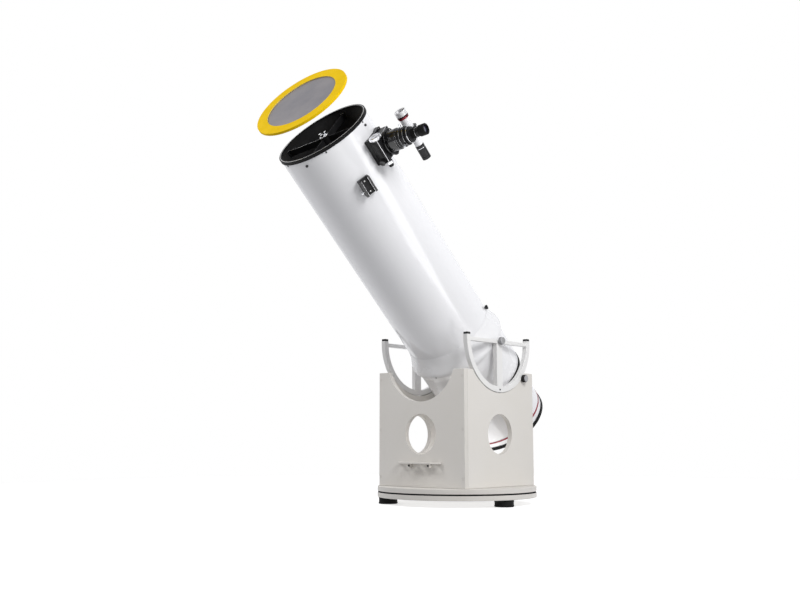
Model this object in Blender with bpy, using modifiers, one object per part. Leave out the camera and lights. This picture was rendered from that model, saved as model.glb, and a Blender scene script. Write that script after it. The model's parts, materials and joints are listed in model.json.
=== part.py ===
"""Solid-tube Dobsonian telescope: a white tube that swings in altitude on two D-shaped
wheels, in a rocker box of plain boards that turns on a round three-footed ground board.

Metres, +Z up. The tube points over the front board, towards -Y. The altitude axis runs along X.
"""
import bpy
import bmesh
from math import radians, degrees, sin, cos, tan, pi, sqrt, asin, atan2
from mathutils import Matrix, Vector

# ---------------------------------------------------------------- fits
SEAT = 0.0003            # gap between two faces that rest on each other
RUN = 0.0005             # radial running clearance round a shaft or a sliding tube

# ---------------------------------------------------------------- ground board and feet
FOOT_H = 0.027
FOOT_R = 0.039
FOOT_CIRCLE = 0.285      # feet stand on this radius
FOOT_TURN = -131.0       # direction of the first foot, degrees from +X
BASE_R = 0.3274          # ground board and turntable board
GROUND_T = 0.020
BEARING_H = 0.0044       # gap between the two round boards, filled by the bearing ring
BEARING_R = 0.235
BEARING_W = 0.030
TURN_T = 0.020
BOLT_R = 0.006
BOLT_HEAD_R = 0.014
BOLT_HEAD_H = 0.009
NUT_R = 0.017
NUT_H = 0.014

# ---------------------------------------------------------------- rocker box
BOX_HALF_W = 0.2252      # outer face of a side board
BOX_FRONT = -0.2289      # outer face of the front board
BOX_REAR = 0.2326
BOARD_T = 0.020
BOARD_H = 0.4619         # height of the boards above the turntable
HOLE_R = 0.0802          # round hand hole in each board
HOLE_DROP = 0.3793       # hole centre below the altitude axis
AXIS_UP = 0.5886         # altitude axis above the turntable board
FRONT_CUT_R = 0.180      # arc cut in the top of the front board
FRONT_CUT_DROP = 0.0706  # its centre below the altitude axis
CRADLE_GAP = 0.0017      # between the wheel rim and the cradle cut, filled by the pads
PAD_W = 10.0             # glide pad width, degrees of arc
PAD_AT = 33.0            # pads lie this far each side of the lowest point, degrees
EDGE = 0.0012            # board edge rounding

TRAY_W = 0.223
TRAY_D = 0.040
TRAY_FRONT_W = 0.170     # the tray narrows towards its front edge
TRAY_SQUARE = 0.010      # depth that keeps the full width
TRAY_T = 0.006
TRAY_Z = 0.170           # top of the tray above the floor
TRAY_HOLE_R = 0.0160
TRAY_HOLE_X = 0.074
BRACKET_X = 0.050
BRACKET_W = 0.014

FRIC_Y = 0.160           # friction knob on the side board, from the altitude axis
FRIC_DROP = 0.150
FRIC_R = 0.0155
FRIC_L = 0.016

# ---------------------------------------------------------------- altitude wheels
WHEEL_R = 0.2128
RIM_W = 0.0225
WHEEL_T = 0.0205
WHEEL_OUT = 0.2291       # outer face of a wheel
BAR_TOP = 0.000          # flat bar, from the altitude axis
BAR_H = 0.015
TIP_UP = 0.009           # rim ends stand this far above the axis
CAP_H = 0.009
SPOKE_W = 0.038
WKNOB_R = 0.0155
WKNOB_L = 0.019

# ---------------------------------------------------------------- tube
ELEV = 42.97             # elevation of the tube at rest, degrees
TUBE_R = 0.184
WALL = 0.0016
FRONT_L = 1.0722         # mouth end of the shell, ahead of the altitude axis
REAR_L = 0.4585          # rear end of the shell, behind the axis
REAR_JOINT = -0.057      # where the rear and middle lengths of the shell meet, under the cradle
FRONT_JOINT = 0.450      # where the middle and front lengths meet
RING_T = 0.0028
RING_LEN = 0.010
RING_LIP = 0.006
RING_CAP = 0.0022
REAR_RING_LEN = 0.014
STRIPE_AT = -0.4205
STRIPE_W = 0.0075
STRIPE_T = 0.0009

CR_TOP = 0.082           # cradle sleeve: upper edge, along the tube
CR_TOP_T = 0.0030
CR_CREST = 0.2080        # largest radius of the flare, at the altitude axis
CR_CREST_W = 0.016
CR_LOW_T = 0.0115
CR_BOTTOM = -0.196
BAND_W = 0.016
BAND_T = 0.0135
CLAMP_TURN = 34.0        # clamp knob on the cradle's upper edge, degrees from +X upwards
CLAMP_R = 0.009
CLAMP_L = 0.014

MIRROR_R = 0.1525
MIRROR_T = 0.030
FOCAL = 1.525
MIRROR_BACK = -0.4170
CELL_AT = -0.4470
CELL_T = 0.010
CELL_HOLE_R = 0.030
CELL_HOLES = 6
COLL_CIRCLE = 0.132
COLL_KNOB_R = 0.014
COLL_KNOB_L = 0.020
COLL_SHANK_R = 0.004
COLL_PAD_R = 0.011

SPIDER_AT = 1.042
VANE_T = 0.0014
VANE_H = 0.024
HUB_R = 0.017
HUB_H = 0.034
TAB_W = 0.016
SEC_HALF = 0.035         # half the short axis of the diagonal mirror
SEC_T = 0.008
SCREW_R = 0.0036
SCREW_H = 0.010
PLATE_T = 0.0015         # plate under the three screw heads
SCREW_CIRCLE = 0.0105

# ---------------------------------------------------------------- focuser
FOC_AT = 0.948           # focuser centre along the tube
FOC_TURN = 10.0          # its direction round the tube, degrees from +X upwards
FB_W = 0.108             # base plate across the tube
FB_L = 0.104             # base plate along the tube
FB_TOP = 0.200           # its flat top from the tube axis
BLK_L = 0.092
BLK_LO = 0.062           # body block, from the centre to its lower side
BLK_HI = 0.047
BLK_TOP = 0.236
NECK_R = 0.0465
NECK_TOP = 0.2435
DRAW_R = 0.040
DRAW_BORE = 0.0270
DRAW_IN = 0.190
DRAW_OUT = 0.285
SHAFT_X = 0.0505         # focusing shaft below the centre
SHAFT_Z = 0.226
SHAFT_R = 0.0035
KNOB_R = 0.0235
KNOB_L = 0.015
KNOB2_R = 0.014
KNOB2_L = 0.012
FINE_R = 0.0095
FINE_L = 0.012
LOCK_X = 0.021
LOCK_R = 0.0085
LOCK_L = 0.016
ADP_R = 0.0375
ADP_MID = 0.302
ADP_NECK = 0.318
ADP_NECK_R = 0.0305
ADP_TOP = 0.3325
ADP_BORE = 0.0257
ADP_SPIGOT = 0.022
THUMB_R = 0.0048
THUMB_L = 0.015
EYE_BARREL = 0.040
EYE_SHOULDER_R = 0.0285
EYE_WAIST_R = 0.0180
EYE_WAIST = 0.373
EYE_CUP_R = 0.0212
EYE_TOP = 0.400
EYE_HOLE_R = 0.0155
EYE_HOLE_D = 0.007

# ---------------------------------------------------------------- finder and its shoes
FND_AT = 0.914
FND_TURN = 36.0
FND_Z = 0.292            # finder axis from the tube axis
SHOE_W = 0.046
SHOE_L = 0.068
SHOE_TOP = 0.2065
SLOT_D = 0.0095
SLOT_TOP = 0.026
SLOT_BOT = 0.034
BRK_RING = 0.0080        # ring wall
BRK_L = 0.024
BRK_STEM = 0.016
FT_R = 0.0190
FT_FRONT = 0.054
FT_REAR = -0.066
OBJ_R = 0.0225
OBJ_END = 0.086
FEYE_R = 0.0175
FEYE_END = -0.128
SPARE_AT = 0.870
SPARE_TURN = -33.0

# ---------------------------------------------------------------- solar filter
FIL_AT = 1.2132          # filter centre along the tube axis, lifted off
FIL_TILT_X = 0.0771      # lean of its face, as slopes
FIL_TILT_Y = -0.0931
FIL_R = 0.190
FIL_HOLE = 0.1454
FIL_T = 0.010
FIL_LIP = 0.003
FILM_T = 0.0015
FILM_LAP = 0.007

STEPS = 56               # facets round a large turned piece
SMALL = 24               # facets round a small one

# ---------------------------------------------------------------- derived levels
GROUND_TOP = FOOT_H + GROUND_T
TURN_BOT = GROUND_TOP + BEARING_H
TURN_TOP = TURN_BOT + TURN_T
AXIS_Z = TURN_TOP + AXIS_UP
BOARD_TOP = TURN_TOP + BOARD_H
BOARD_LOW = TURN_TOP + SEAT
CUT_R = WHEEL_R + CRADLE_GAP
WHEEL_IN = WHEEL_OUT - WHEEL_T
SHELL_IN = TUBE_R - WALL

# ---------------------------------------------------------------- scene set-up
for old in list(bpy.data.objects):
    bpy.data.objects.remove(old, do_unlink=True)
scene = bpy.context.scene
scene.unit_settings.system = 'METRIC'
body_col = bpy.data.collections.new("dobsonian_telescope")
scene.collection.children.link(body_col)
tool_col = bpy.data.collections.new("cutters")
scene.collection.children.link(tool_col)


def paint(name, colour, rough, metal=0.0, **extra):
    """A Principled material."""
    m = bpy.data.materials.new(name)
    m.use_nodes = True
    p = m.node_tree.nodes["Principled BSDF"]
    p.inputs["Base Color"].default_value = (*colour, 1.0)
    p.inputs["Roughness"].default_value = rough
    p.inputs["Metallic"].default_value = metal
    for key, value in extra.items():
        p.inputs[key.replace("_", " ")].default_value = value
    m.diffuse_color = (*colour, 1.0)
    return m


LAMINATE = paint("board_laminate", (0.72, 0.70, 0.66), 0.45)
WHITE = paint("tube_enamel", (0.86, 0.86, 0.87), 0.18)
CRADLE_WHITE = paint("cradle_white", (0.84, 0.84, 0.85), 0.25)
BLACK = paint("black_plastic", (0.015, 0.015, 0.017), 0.40)
BLACK_METAL = paint("black_anodised", (0.020, 0.020, 0.023), 0.28, 0.6)
RUBBER = paint("black_rubber", (0.020, 0.020, 0.020), 0.85)
CHROME = paint("bright_steel", (0.75, 0.76, 0.78), 0.18, 1.0)
STEEL = paint("zinc_steel", (0.58, 0.59, 0.61), 0.35, 1.0)
GREY = paint("grey_plastic", (0.42, 0.42, 0.44), 0.45)
RED = paint("red_stripe", (0.42, 0.010, 0.025), 0.35)
YELLOW = paint("yellow_card", (0.95, 0.66, 0.010), 0.55)
FILM = paint("solar_film", (0.33, 0.32, 0.37), 0.16, 0.85)
MIRROR = paint("mirror_glass", (0.88, 0.90, 0.92), 0.03, 1.0)
PTFE = paint("ptfe_white", (0.80, 0.80, 0.78), 0.50)
SILVER = paint("silver_anodised", (0.70, 0.71, 0.73), 0.30, 1.0)


def empty(name, parent=None, loc=(0, 0, 0), matrix=None):
    e = bpy.data.objects.new(name, None)
    e.empty_display_size = 0.05
    body_col.objects.link(e)
    e.parent = parent
    e.matrix_local = matrix if matrix is not None else Matrix.Translation(loc)
    return e


def place(obj, parent, loc, rot, col=None):
    (col or body_col).objects.link(obj)
    obj.parent = parent
    obj.location = loc
    obj.rotation_euler = rot
    return obj


def block(name, lo, hi, material, parent=None, loc=(0, 0, 0), rot=(0, 0, 0), edge=0.0, col=None):
    """A box between two corners, with an optional rounded edge."""
    bm = bmesh.new()
    size = [b - a for a, b in zip(lo, hi)]
    mid = [(a + b) / 2 for a, b in zip(lo, hi)]
    bmesh.ops.create_cube(bm, size=1.0, matrix=Matrix.Translation(mid) @ Matrix.Diagonal((*size, 1.0)))
    mesh = bpy.data.meshes.new(name)
    bm.to_mesh(mesh)
    bm.free()
    mesh.materials.append(material)
    obj = place(bpy.data.objects.new(name, mesh), parent, loc, rot, col)
    if edge:
        b = obj.modifiers.new("edge", 'BEVEL')
        b.width = edge
        b.segments = 1
        b.limit_method = 'ANGLE'
    return obj


def rod(name, radius, z0, z1, material, parent=None, loc=(0, 0, 0), rot=(0, 0, 0), steps=SMALL, col=None):
    """A plain cylinder along local Z."""
    bm = bmesh.new()
    bmesh.ops.create_cone(bm, cap_ends=True, segments=steps, radius1=radius, radius2=radius,
                          depth=z1 - z0, matrix=Matrix.Translation((0, 0, (z0 + z1) / 2)))
    mesh = bpy.data.meshes.new(name)
    bm.to_mesh(mesh)
    bm.free()
    mesh.materials.append(material)
    return place(bpy.data.objects.new(name, mesh), parent, loc, rot, col)


def turned(name, profile, material, parent=None, loc=(0, 0, 0), rot=(0, 0, 0), steps=SMALL, ring=False):
    """A turned piece: profile points (r, z), down the outer side; a ring's profile closes on itself."""
    mesh = bpy.data.meshes.new(name)
    bm = bmesh.new()
    verts = [bm.verts.new((r, 0.0, z)) for r, z in profile]
    for a, b in zip(verts, verts[1:]):
        bm.edges.new((a, b))
    if ring:
        bm.edges.new((verts[-1], verts[0]))
    bm.to_mesh(mesh)
    bm.free()
    mesh.materials.append(material)
    obj = place(bpy.data.objects.new(name, mesh), parent, loc, rot)
    s = obj.modifiers.new("turn", 'SCREW')
    s.axis = 'Z'
    s.steps = steps
    s.render_steps = steps
    s.use_merge_vertices = True
    s.merge_threshold = 0.00001
    return obj


def chamfered(r, z1, z0, c):
    """Profile of a solid disc with chamfered edges."""
    return [(0, z1), (r - c, z1), (r, z1 - c), (r, z0 + c), (r - c, z0), (0, z0)]


def sheet(name, outlines, half, material, parent=None, loc=(0, 0, 0), rot=(0, 0, 0), edge=0.0):
    """A flat piece cut to one or more outlines in local XY, 2 * half thick along local Z."""
    cu = bpy.data.curves.new(name, 'CURVE')
    cu.dimensions = '2D'
    cu.fill_mode = 'BOTH'
    cu.extrude = half - edge
    cu.bevel_depth = edge
    cu.bevel_resolution = 0
    cu.offset = -edge
    for pts in outlines:
        sp = cu.splines.new('POLY')
        sp.points.add(len(pts) - 1)
        for p, (x, y) in zip(sp.points, pts):
            p.co = (x, y, 0.0, 1.0)
        sp.use_cyclic_u = True
    cu.materials.append(material)
    return place(bpy.data.objects.new(name, cu), parent, loc, rot)


def boolean(obj, cutter, kind='DIFFERENCE'):
    cutter.hide_render = True
    cutter.display_type = 'WIRE'
    m = obj.modifiers.new(kind.lower(), 'BOOLEAN')
    m.operation = kind
    m.solver = 'EXACT'
    m.object = cutter
    return m


def arc(radius, a0, a1, n):
    return [(radius * cos(radians(a0 + (a1 - a0) * i / n)), radius * sin(radians(a0 + (a1 - a0) * i / n)))
            for i in range(n + 1)]


ALONG_X = (0, pi / 2, 0)         # turns local Z to +X
TO_YZ = (pi / 2, 0, pi / 2)      # turns a flat piece's XY into YZ

root = empty("telescope")
rocker = empty("azimuth_axis", root)
swing = empty("altitude_axis", rocker, (0, 0, AXIS_Z))
tube = empty("tube_axis", swing, matrix=Matrix.Rotation(radians(90 - ELEV), 4, 'X'))


def round_tube(name, turn, along):
    """A frame on the tube axis: local Z points out through the wall, local Y along the tube."""
    a = radians(turn)
    m = Matrix(((-sin(a), 0, cos(a), 0), (cos(a), 0, sin(a), 0), (0, 1, 0, along), (0, 0, 0, 1)))
    return empty(name, tube, matrix=m)


focuser = round_tube("focuser_axis", FOC_TURN, FOC_AT)
finder = round_tube("finder_axis", FND_TURN, FND_AT)
spare = round_tube("spare_axis", SPARE_TURN, SPARE_AT)

# ---------------------------------------------------------------- ground board
turned("ground_board",
       [(BASE_R - EDGE, GROUND_TOP), (BASE_R, GROUND_TOP - EDGE), (BASE_R, FOOT_H + EDGE),
        (BASE_R - EDGE, FOOT_H), (BOLT_R + RUN, FOOT_H), (BOLT_R + RUN, GROUND_TOP)],
       LAMINATE, root, steps=STEPS, ring=True)
for i in range(3):
    a = radians(FOOT_TURN + 120 * i)
    turned(f"foot_{i + 1}",
           [(0, FOOT_H - SEAT), (FOOT_R - 0.003, FOOT_H - SEAT), (FOOT_R, FOOT_H - 0.006),
            (FOOT_R, 0.003), (FOOT_R - 0.003, 0), (0, 0)],
           RUBBER, root, (FOOT_CIRCLE * cos(a), FOOT_CIRCLE * sin(a), 0))
turned("azimuth_bearing",
       [(BEARING_R, TURN_BOT - SEAT), (BEARING_R, GROUND_TOP + SEAT),
        (BEARING_R - BEARING_W, GROUND_TOP + SEAT), (BEARING_R - BEARING_W, TURN_BOT - SEAT)],
       PTFE, root, steps=STEPS, ring=True)
nut_low = TURN_TOP + SEAT
head_top = FOOT_H - SEAT
turned("pivot_bolt",
       [(0, nut_low + NUT_H + 0.004), (BOLT_R, nut_low + NUT_H + 0.004), (BOLT_R, nut_low + NUT_H),
        (NUT_R - 0.002, nut_low + NUT_H), (NUT_R, nut_low + NUT_H - 0.002), (NUT_R, nut_low), (BOLT_R, nut_low),
        (BOLT_R, head_top), (BOLT_HEAD_R, head_top), (BOLT_HEAD_R, head_top - BOLT_HEAD_H),
        (0, head_top - BOLT_HEAD_H)],
       STEEL, root)

# ---------------------------------------------------------------- rocker box
turned("turntable_board",
       [(BASE_R - EDGE, TURN_TOP), (BASE_R, TURN_TOP - EDGE), (BASE_R, TURN_BOT + EDGE),
        (BASE_R - EDGE, TURN_BOT), (BOLT_R + RUN, TURN_BOT), (BOLT_R + RUN, TURN_TOP)],
       LAMINATE, rocker, steps=STEPS, ring=True)
hole_z = AXIS_Z - HOLE_DROP
front_in = BOX_FRONT + BOARD_T
front = block("front_board", (-BOX_HALF_W, BOX_FRONT, BOARD_LOW), (BOX_HALF_W, front_in, BOARD_TOP),
              LAMINATE, rocker, edge=EDGE)
boolean(front, rod("front_arc_cutter", FRONT_CUT_R, -BOARD_T, BOARD_T, LAMINATE, rocker,
                   (0, BOX_FRONT + BOARD_T / 2, AXIS_Z - FRONT_CUT_DROP), (pi / 2, 0, 0), STEPS, tool_col))
boolean(front, rod("front_hole_cutter", HOLE_R, -BOARD_T, BOARD_T, LAMINATE, rocker,
                   (0, BOX_FRONT + BOARD_T / 2, hole_z), (pi / 2, 0, 0), 56, tool_col))
for side, sx in (("right", 1), ("left", -1)):
    x0, x1 = sorted((sx * (BOX_HALF_W - BOARD_T), sx * BOX_HALF_W))
    board = block(f"side_board_{side}", (x0, front_in + SEAT, BOARD_LOW), (x1, BOX_REAR, BOARD_TOP),
                  LAMINATE, rocker, edge=EDGE)
    mid = (x0 + x1) / 2
    boolean(board, rod(f"cradle_cutter_{side}", CUT_R, -BOARD_T, BOARD_T, LAMINATE, rocker,
                       (mid, 0, AXIS_Z), ALONG_X, 96, tool_col))
    boolean(board, rod(f"hole_cutter_{side}", HOLE_R, -BOARD_T, BOARD_T, LAMINATE, rocker,
                       (mid, 0, hole_z), ALONG_X, 56, tool_col))
    for k, at in (("front", -PAD_AT), ("rear", PAD_AT)):
        pad_mid = -90 + at
        pts = arc(CUT_R - SEAT, pad_mid - PAD_W / 2, pad_mid + PAD_W / 2, 6)
        pts += arc(WHEEL_R + SEAT, pad_mid + PAD_W / 2, pad_mid - PAD_W / 2, 6)
        sheet(f"glide_pad_{side}_{k}", [pts], BOARD_T / 2 - EDGE, PTFE, rocker, (mid, 0, AXIS_Z), TO_YZ)

tray_y1 = BOX_FRONT - SEAT
tray = block("eyepiece_tray", (-TRAY_W / 2, tray_y1 - TRAY_D, TRAY_Z - TRAY_T), (TRAY_W / 2, tray_y1, TRAY_Z),
             LAMINATE, rocker)
for k, sx in (("a", -1), ("b", 1)):
    x_mid = sx * BRACKET_X
    boolean(tray, block(f"tray_bracket_{k}", (x_mid - BRACKET_W / 2, tray_y1 - 0.012, TRAY_Z - 0.022),
                        (x_mid + BRACKET_W / 2, tray_y1, TRAY_Z - TRAY_T / 2), LAMINATE, rocker, col=tool_col),
            'UNION')
    side = block(f"tray_corner_{k}", (-0.10, -0.10, -0.05), (0.0, 0.10, 0.05), LAMINATE, rocker,
                 (-TRAY_W / 2, tray_y1 - TRAY_SQUARE, TRAY_Z), col=tool_col)
    side.rotation_euler.z = atan2((TRAY_W - TRAY_FRONT_W) / 2, TRAY_D - TRAY_SQUARE)
    if sx > 0:
        side.location.x *= -1
        side.rotation_euler.z = pi - side.rotation_euler.z
    boolean(tray, side)
for k, hx in enumerate((-TRAY_HOLE_X, 0.0, TRAY_HOLE_X)):
    boolean(tray, rod(f"tray_hole_{k}", TRAY_HOLE_R, TRAY_Z - 0.03, TRAY_Z + 0.01, LAMINATE, rocker,
                      (hx, tray_y1 - TRAY_D / 2, 0), (0, 0, 0), 24, tool_col))

fric_stem = BOX_HALF_W + SEAT
fric_face = WHEEL_OUT + 0.0006
turned("friction_knob",
       [(0, fric_face + FRIC_L), (FRIC_R - 0.003, fric_face + FRIC_L), (FRIC_R, fric_face + FRIC_L - 0.004),
        (FRIC_R, fric_face), (0.003, fric_face), (0.003, fric_stem), (0, fric_stem)],
       BLACK, rocker, (0, FRIC_Y, AXIS_Z - FRIC_DROP), ALONG_X)

# ---------------------------------------------------------------- altitude wheels
rim_in = WHEEL_R - RIM_W
tip = degrees(asin(TIP_UP / WHEEL_R))
tip_in = degrees(asin(TIP_UP / rim_in))
bar_low = BAR_TOP - BAR_H
a_bar = degrees(asin(-bar_low / rim_in))
a_top = degrees(asin(BAR_TOP / rim_in))
a_spoke = degrees(asin(SPOKE_W / 2 / rim_in))
for side, sx in (("right", 1), ("left", -1)):
    outer = arc(WHEEL_R, -180 - tip, tip, 44)
    outer += [(rim_in * cos(radians(tip_in)), TIP_UP), (rim_in * cos(radians(a_top)), BAR_TOP),
              (-rim_in * cos(radians(a_top)), BAR_TOP), (-rim_in * cos(radians(tip_in)), TIP_UP)]
    near = arc(rim_in, -90 + a_spoke, -a_bar, 14) + [(SPOKE_W / 2, bar_low)]
    far = arc(rim_in, -180 + a_bar, -90 - a_spoke, 14) + [(-SPOKE_W / 2, bar_low)]
    mid = sx * (WHEEL_OUT + WHEEL_IN) / 2
    sheet(f"altitude_wheel_{side}", [outer, near, far], WHEEL_T / 2, CRADLE_WHITE, swing, (mid, 0, 0), TO_YZ,
          edge=0.0012)
    for k, sy in (("front", -1), ("rear", 1)):
        y0, y1 = sorted((sy * (rim_in + 0.001), sy * (sqrt(WHEEL_R ** 2 - (TIP_UP + CAP_H) ** 2) - 0.0008)))
        block(f"wheel_cap_{side}_{k}", (mid - WHEEL_T / 2, y0, TIP_UP + SEAT), (mid + WHEEL_T / 2, y1, TIP_UP + CAP_H),
              BLACK, swing, edge=0.0012)
    face = WHEEL_OUT + SEAT
    turned(f"wheel_knob_{side}",
           [(0, face + WKNOB_L), (WKNOB_R - 0.003, face + WKNOB_L), (WKNOB_R, face + WKNOB_L - 0.003),
            (WKNOB_R, face + 0.004), (WKNOB_R - 0.004, face), (0, face)],
           GREY, swing, (0, 0, -BAR_H / 2 + 0.003), (0, sx * pi / 2, 0))

# ---------------------------------------------------------------- tube shell and its rings
# the shell is rolled in three lengths; the cradle covers the rear joint
for k, low, high in (("rear", -REAR_L, REAR_JOINT - SEAT / 2),
                     ("middle", REAR_JOINT + SEAT / 2, FRONT_JOINT - SEAT / 2),
                     ("front", FRONT_JOINT + SEAT / 2, FRONT_L)):
    shell = turned(f"tube_shell_{k}", [(TUBE_R, high), (TUBE_R, low), (SHELL_IN, low), (SHELL_IN, high)],
                   WHITE, tube, steps=STEPS, ring=True)
boolean(shell, rod("focuser_opening", DRAW_R + 0.002, TUBE_R - 0.03, TUBE_R + 0.02, WHITE, focuser,
                   steps=40, col=tool_col))
ring_out = TUBE_R + SEAT + RING_T
turned("front_ring",
       [(ring_out - 0.001, FRONT_L + SEAT + RING_CAP), (ring_out, FRONT_L + SEAT + RING_CAP - 0.001),
        (ring_out, FRONT_L - RING_LEN), (TUBE_R + SEAT, FRONT_L - RING_LEN), (TUBE_R + SEAT, FRONT_L + SEAT),
        (SHELL_IN - RING_LIP, FRONT_L + SEAT), (SHELL_IN - RING_LIP, FRONT_L + SEAT + RING_CAP)],
       BLACK, tube, steps=STEPS, ring=True)
turned("rear_ring",
       [(ring_out, -REAR_L + REAR_RING_LEN), (ring_out, -REAR_L - SEAT - RING_CAP + 0.001),
        (ring_out - 0.001, -REAR_L - SEAT - RING_CAP), (SHELL_IN - RING_LIP, -REAR_L - SEAT - RING_CAP),
        (SHELL_IN - RING_LIP, -REAR_L - SEAT), (TUBE_R + SEAT, -REAR_L - SEAT),
        (TUBE_R + SEAT, -REAR_L + REAR_RING_LEN)],
       BLACK, tube, steps=STEPS, ring=True)
turned("rear_stripe",
       [(TUBE_R + SEAT + STRIPE_T, STRIPE_AT + STRIPE_W / 2), (TUBE_R + SEAT + STRIPE_T, STRIPE_AT - STRIPE_W / 2),
        (TUBE_R + SEAT, STRIPE_AT - STRIPE_W / 2), (TUBE_R + SEAT, STRIPE_AT + STRIPE_W / 2)],
       RED, tube, steps=STEPS, ring=True)

# ---------------------------------------------------------------- cradle sleeve
cr_in = TUBE_R + SEAT
cr_low = cr_in + CR_LOW_T
turned("cradle_sleeve",
       [(cr_in + CR_TOP_T, CR_TOP), (cr_in + CR_TOP_T + 0.003, CR_TOP * 0.72),
        (CR_CREST - 0.004, CR_TOP * 0.22), (CR_CREST, CR_CREST_W / 2), (CR_CREST, -CR_CREST_W / 2),
        (cr_low + 0.003, -CR_CREST_W / 2 - 0.010), (cr_low, -CR_CREST_W / 2 - 0.022), (cr_low, CR_BOTTOM),
        (cr_in, CR_BOTTOM), (cr_in, CR_TOP)],
       CRADLE_WHITE, tube, steps=STEPS, ring=True)
turned("cradle_band",
       [(cr_in + BAND_T, CR_BOTTOM - SEAT), (cr_in + BAND_T, CR_BOTTOM - SEAT - BAND_W),
        (cr_in, CR_BOTTOM - SEAT - BAND_W), (cr_in, CR_BOTTOM - SEAT)],
       BLACK, tube, steps=STEPS, ring=True)
clamp = round_tube("clamp_axis", CLAMP_TURN, CR_TOP + 0.0003 + CLAMP_R)
turned("cradle_clamp_knob",
       [(0, CLAMP_L), (CLAMP_R - 0.002, CLAMP_L), (CLAMP_R, CLAMP_L - 0.002), (CLAMP_R, 0.004), (0.004, 0.004),
        (0.004, 0), (0, 0)],
       BLACK, clamp, (0, 0, TUBE_R + SEAT), steps=24)

# ---------------------------------------------------------------- primary mirror and cell
cell = turned("mirror_cell",
              [(SHELL_IN - SEAT, CELL_AT + CELL_T), (SHELL_IN - SEAT, CELL_AT), (0.040, CELL_AT),
               (0.040, CELL_AT + CELL_T)],
              BLACK_METAL, tube, steps=STEPS, ring=True)
for i in range(CELL_HOLES):
    a = 2 * pi * (i + 0.5) / CELL_HOLES
    boolean(cell, rod(f"cell_vent_{i}", CELL_HOLE_R, CELL_AT - 0.01, CELL_AT + CELL_T + 0.01, BLACK, tube,
                      (0.112 * cos(a), 0.112 * sin(a), 0), (0, 0, 0), 20, tool_col))
pad_top = MIRROR_BACK - SEAT
for i in range(3):
    a = 2 * pi * i / 3
    at = (COLL_CIRCLE * cos(a), COLL_CIRCLE * sin(a), 0)
    boolean(cell, rod(f"cell_bolt_hole_{i}", COLL_SHANK_R + RUN, CELL_AT - 0.01, CELL_AT + CELL_T + 0.01, BLACK,
                      tube, at, (0, 0, 0), 20, tool_col))
    k0 = CELL_AT - SEAT
    turned(f"collimation_bolt_{i + 1}",
           [(0, pad_top), (COLL_PAD_R, pad_top), (COLL_PAD_R, CELL_AT + CELL_T + SEAT),
            (COLL_SHANK_R, CELL_AT + CELL_T + SEAT), (COLL_SHANK_R, k0), (COLL_KNOB_R, k0),
            (COLL_KNOB_R, k0 - COLL_KNOB_L + 0.002), (COLL_KNOB_R - 0.002, k0 - COLL_KNOB_L), (0, k0 - COLL_KNOB_L)],
           BLACK, tube, at, steps=24)
dish = MIRROR_R ** 2 / (4 * FOCAL)
front_z = MIRROR_BACK + MIRROR_T
turned("primary_mirror",
       [(0, front_z - dish), (MIRROR_R * 0.35, front_z - dish * (1 - 0.35 ** 2)),
        (MIRROR_R * 0.7, front_z - dish * (1 - 0.7 ** 2)), (MIRROR_R, front_z), (MIRROR_R, MIRROR_BACK),
        (0, MIRROR_BACK)],
       MIRROR, tube, steps=STEPS)

# ---------------------------------------------------------------- spider and diagonal mirror
hub = rod("spider", HUB_R, SPIDER_AT - HUB_H / 2, SPIDER_AT + HUB_H / 2, BLACK, tube, steps=SMALL)
hub.data.materials[0] = BLACK
for i in range(4):
    reach = sqrt(SHELL_IN ** 2 - (TAB_W / 2) ** 2) - 2 * SEAT
    boolean(hub, block(f"vane_{i}", (HUB_R * 0.5, -VANE_T / 2, SPIDER_AT - VANE_H / 2),
                       (reach, VANE_T / 2, SPIDER_AT + VANE_H / 2), BLACK, tube, (0, 0, 0),
                       (0, 0, radians(FOC_TURN + 90 * i)), col=tool_col), 'UNION')
    boolean(hub, block(f"vane_tab_{i}", (reach - 0.004, -TAB_W / 2, SPIDER_AT - VANE_H / 2 - 0.001),
                       (reach, TAB_W / 2, SPIDER_AT + VANE_H / 2 + 0.001), BLACK, tube, (0, 0, 0),
                       (0, 0, radians(FOC_TURN + 90 * i)), col=tool_col), 'UNION')
hold_top = SPIDER_AT - HUB_H / 2 - SEAT
# the diagonal's plane faces the focuser and the primary: its normal leans 45 degrees down from +X
holder = rod("diagonal_holder", SEC_HALF * 0.86, FOC_AT - 0.06, hold_top, BLACK, tube, steps=40)
lean = empty("diagonal_plane", tube, matrix=Matrix.Translation((0, 0, FOC_AT))
             @ Matrix.Rotation(radians(FOC_TURN), 4, 'Z') @ Matrix.Rotation(radians(135), 4, 'Y'))
boolean(holder, block("diagonal_cutter", (-0.2, -0.2, -SEC_T - SEAT), (0.2, 0.2, 0.2), BLACK, lean, col=tool_col))
diag = rod("diagonal_mirror", 1.0, -SEC_T, 0.0, MIRROR, lean, steps=40)
for v in diag.data.vertices:
    v.co.x *= SEC_HALF * sqrt(2)
    v.co.y *= SEC_HALF
hub_top = SPIDER_AT + HUB_H / 2 + SEAT
screws = rod("diagonal_screws", HUB_R - 0.0015, hub_top, hub_top + PLATE_T, CHROME, tube, steps=SMALL)
for i in range(3):
    a = radians(FOC_TURN + 45 + 120 * i)
    boolean(screws, rod(f"screw_{i}", SCREW_R, hub_top + PLATE_T / 2, hub_top + SCREW_H, CHROME, tube,
                        (SCREW_CIRCLE * cos(a), SCREW_CIRCLE * sin(a), 0), (0, 0, 0), 16, tool_col), 'UNION')

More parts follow.
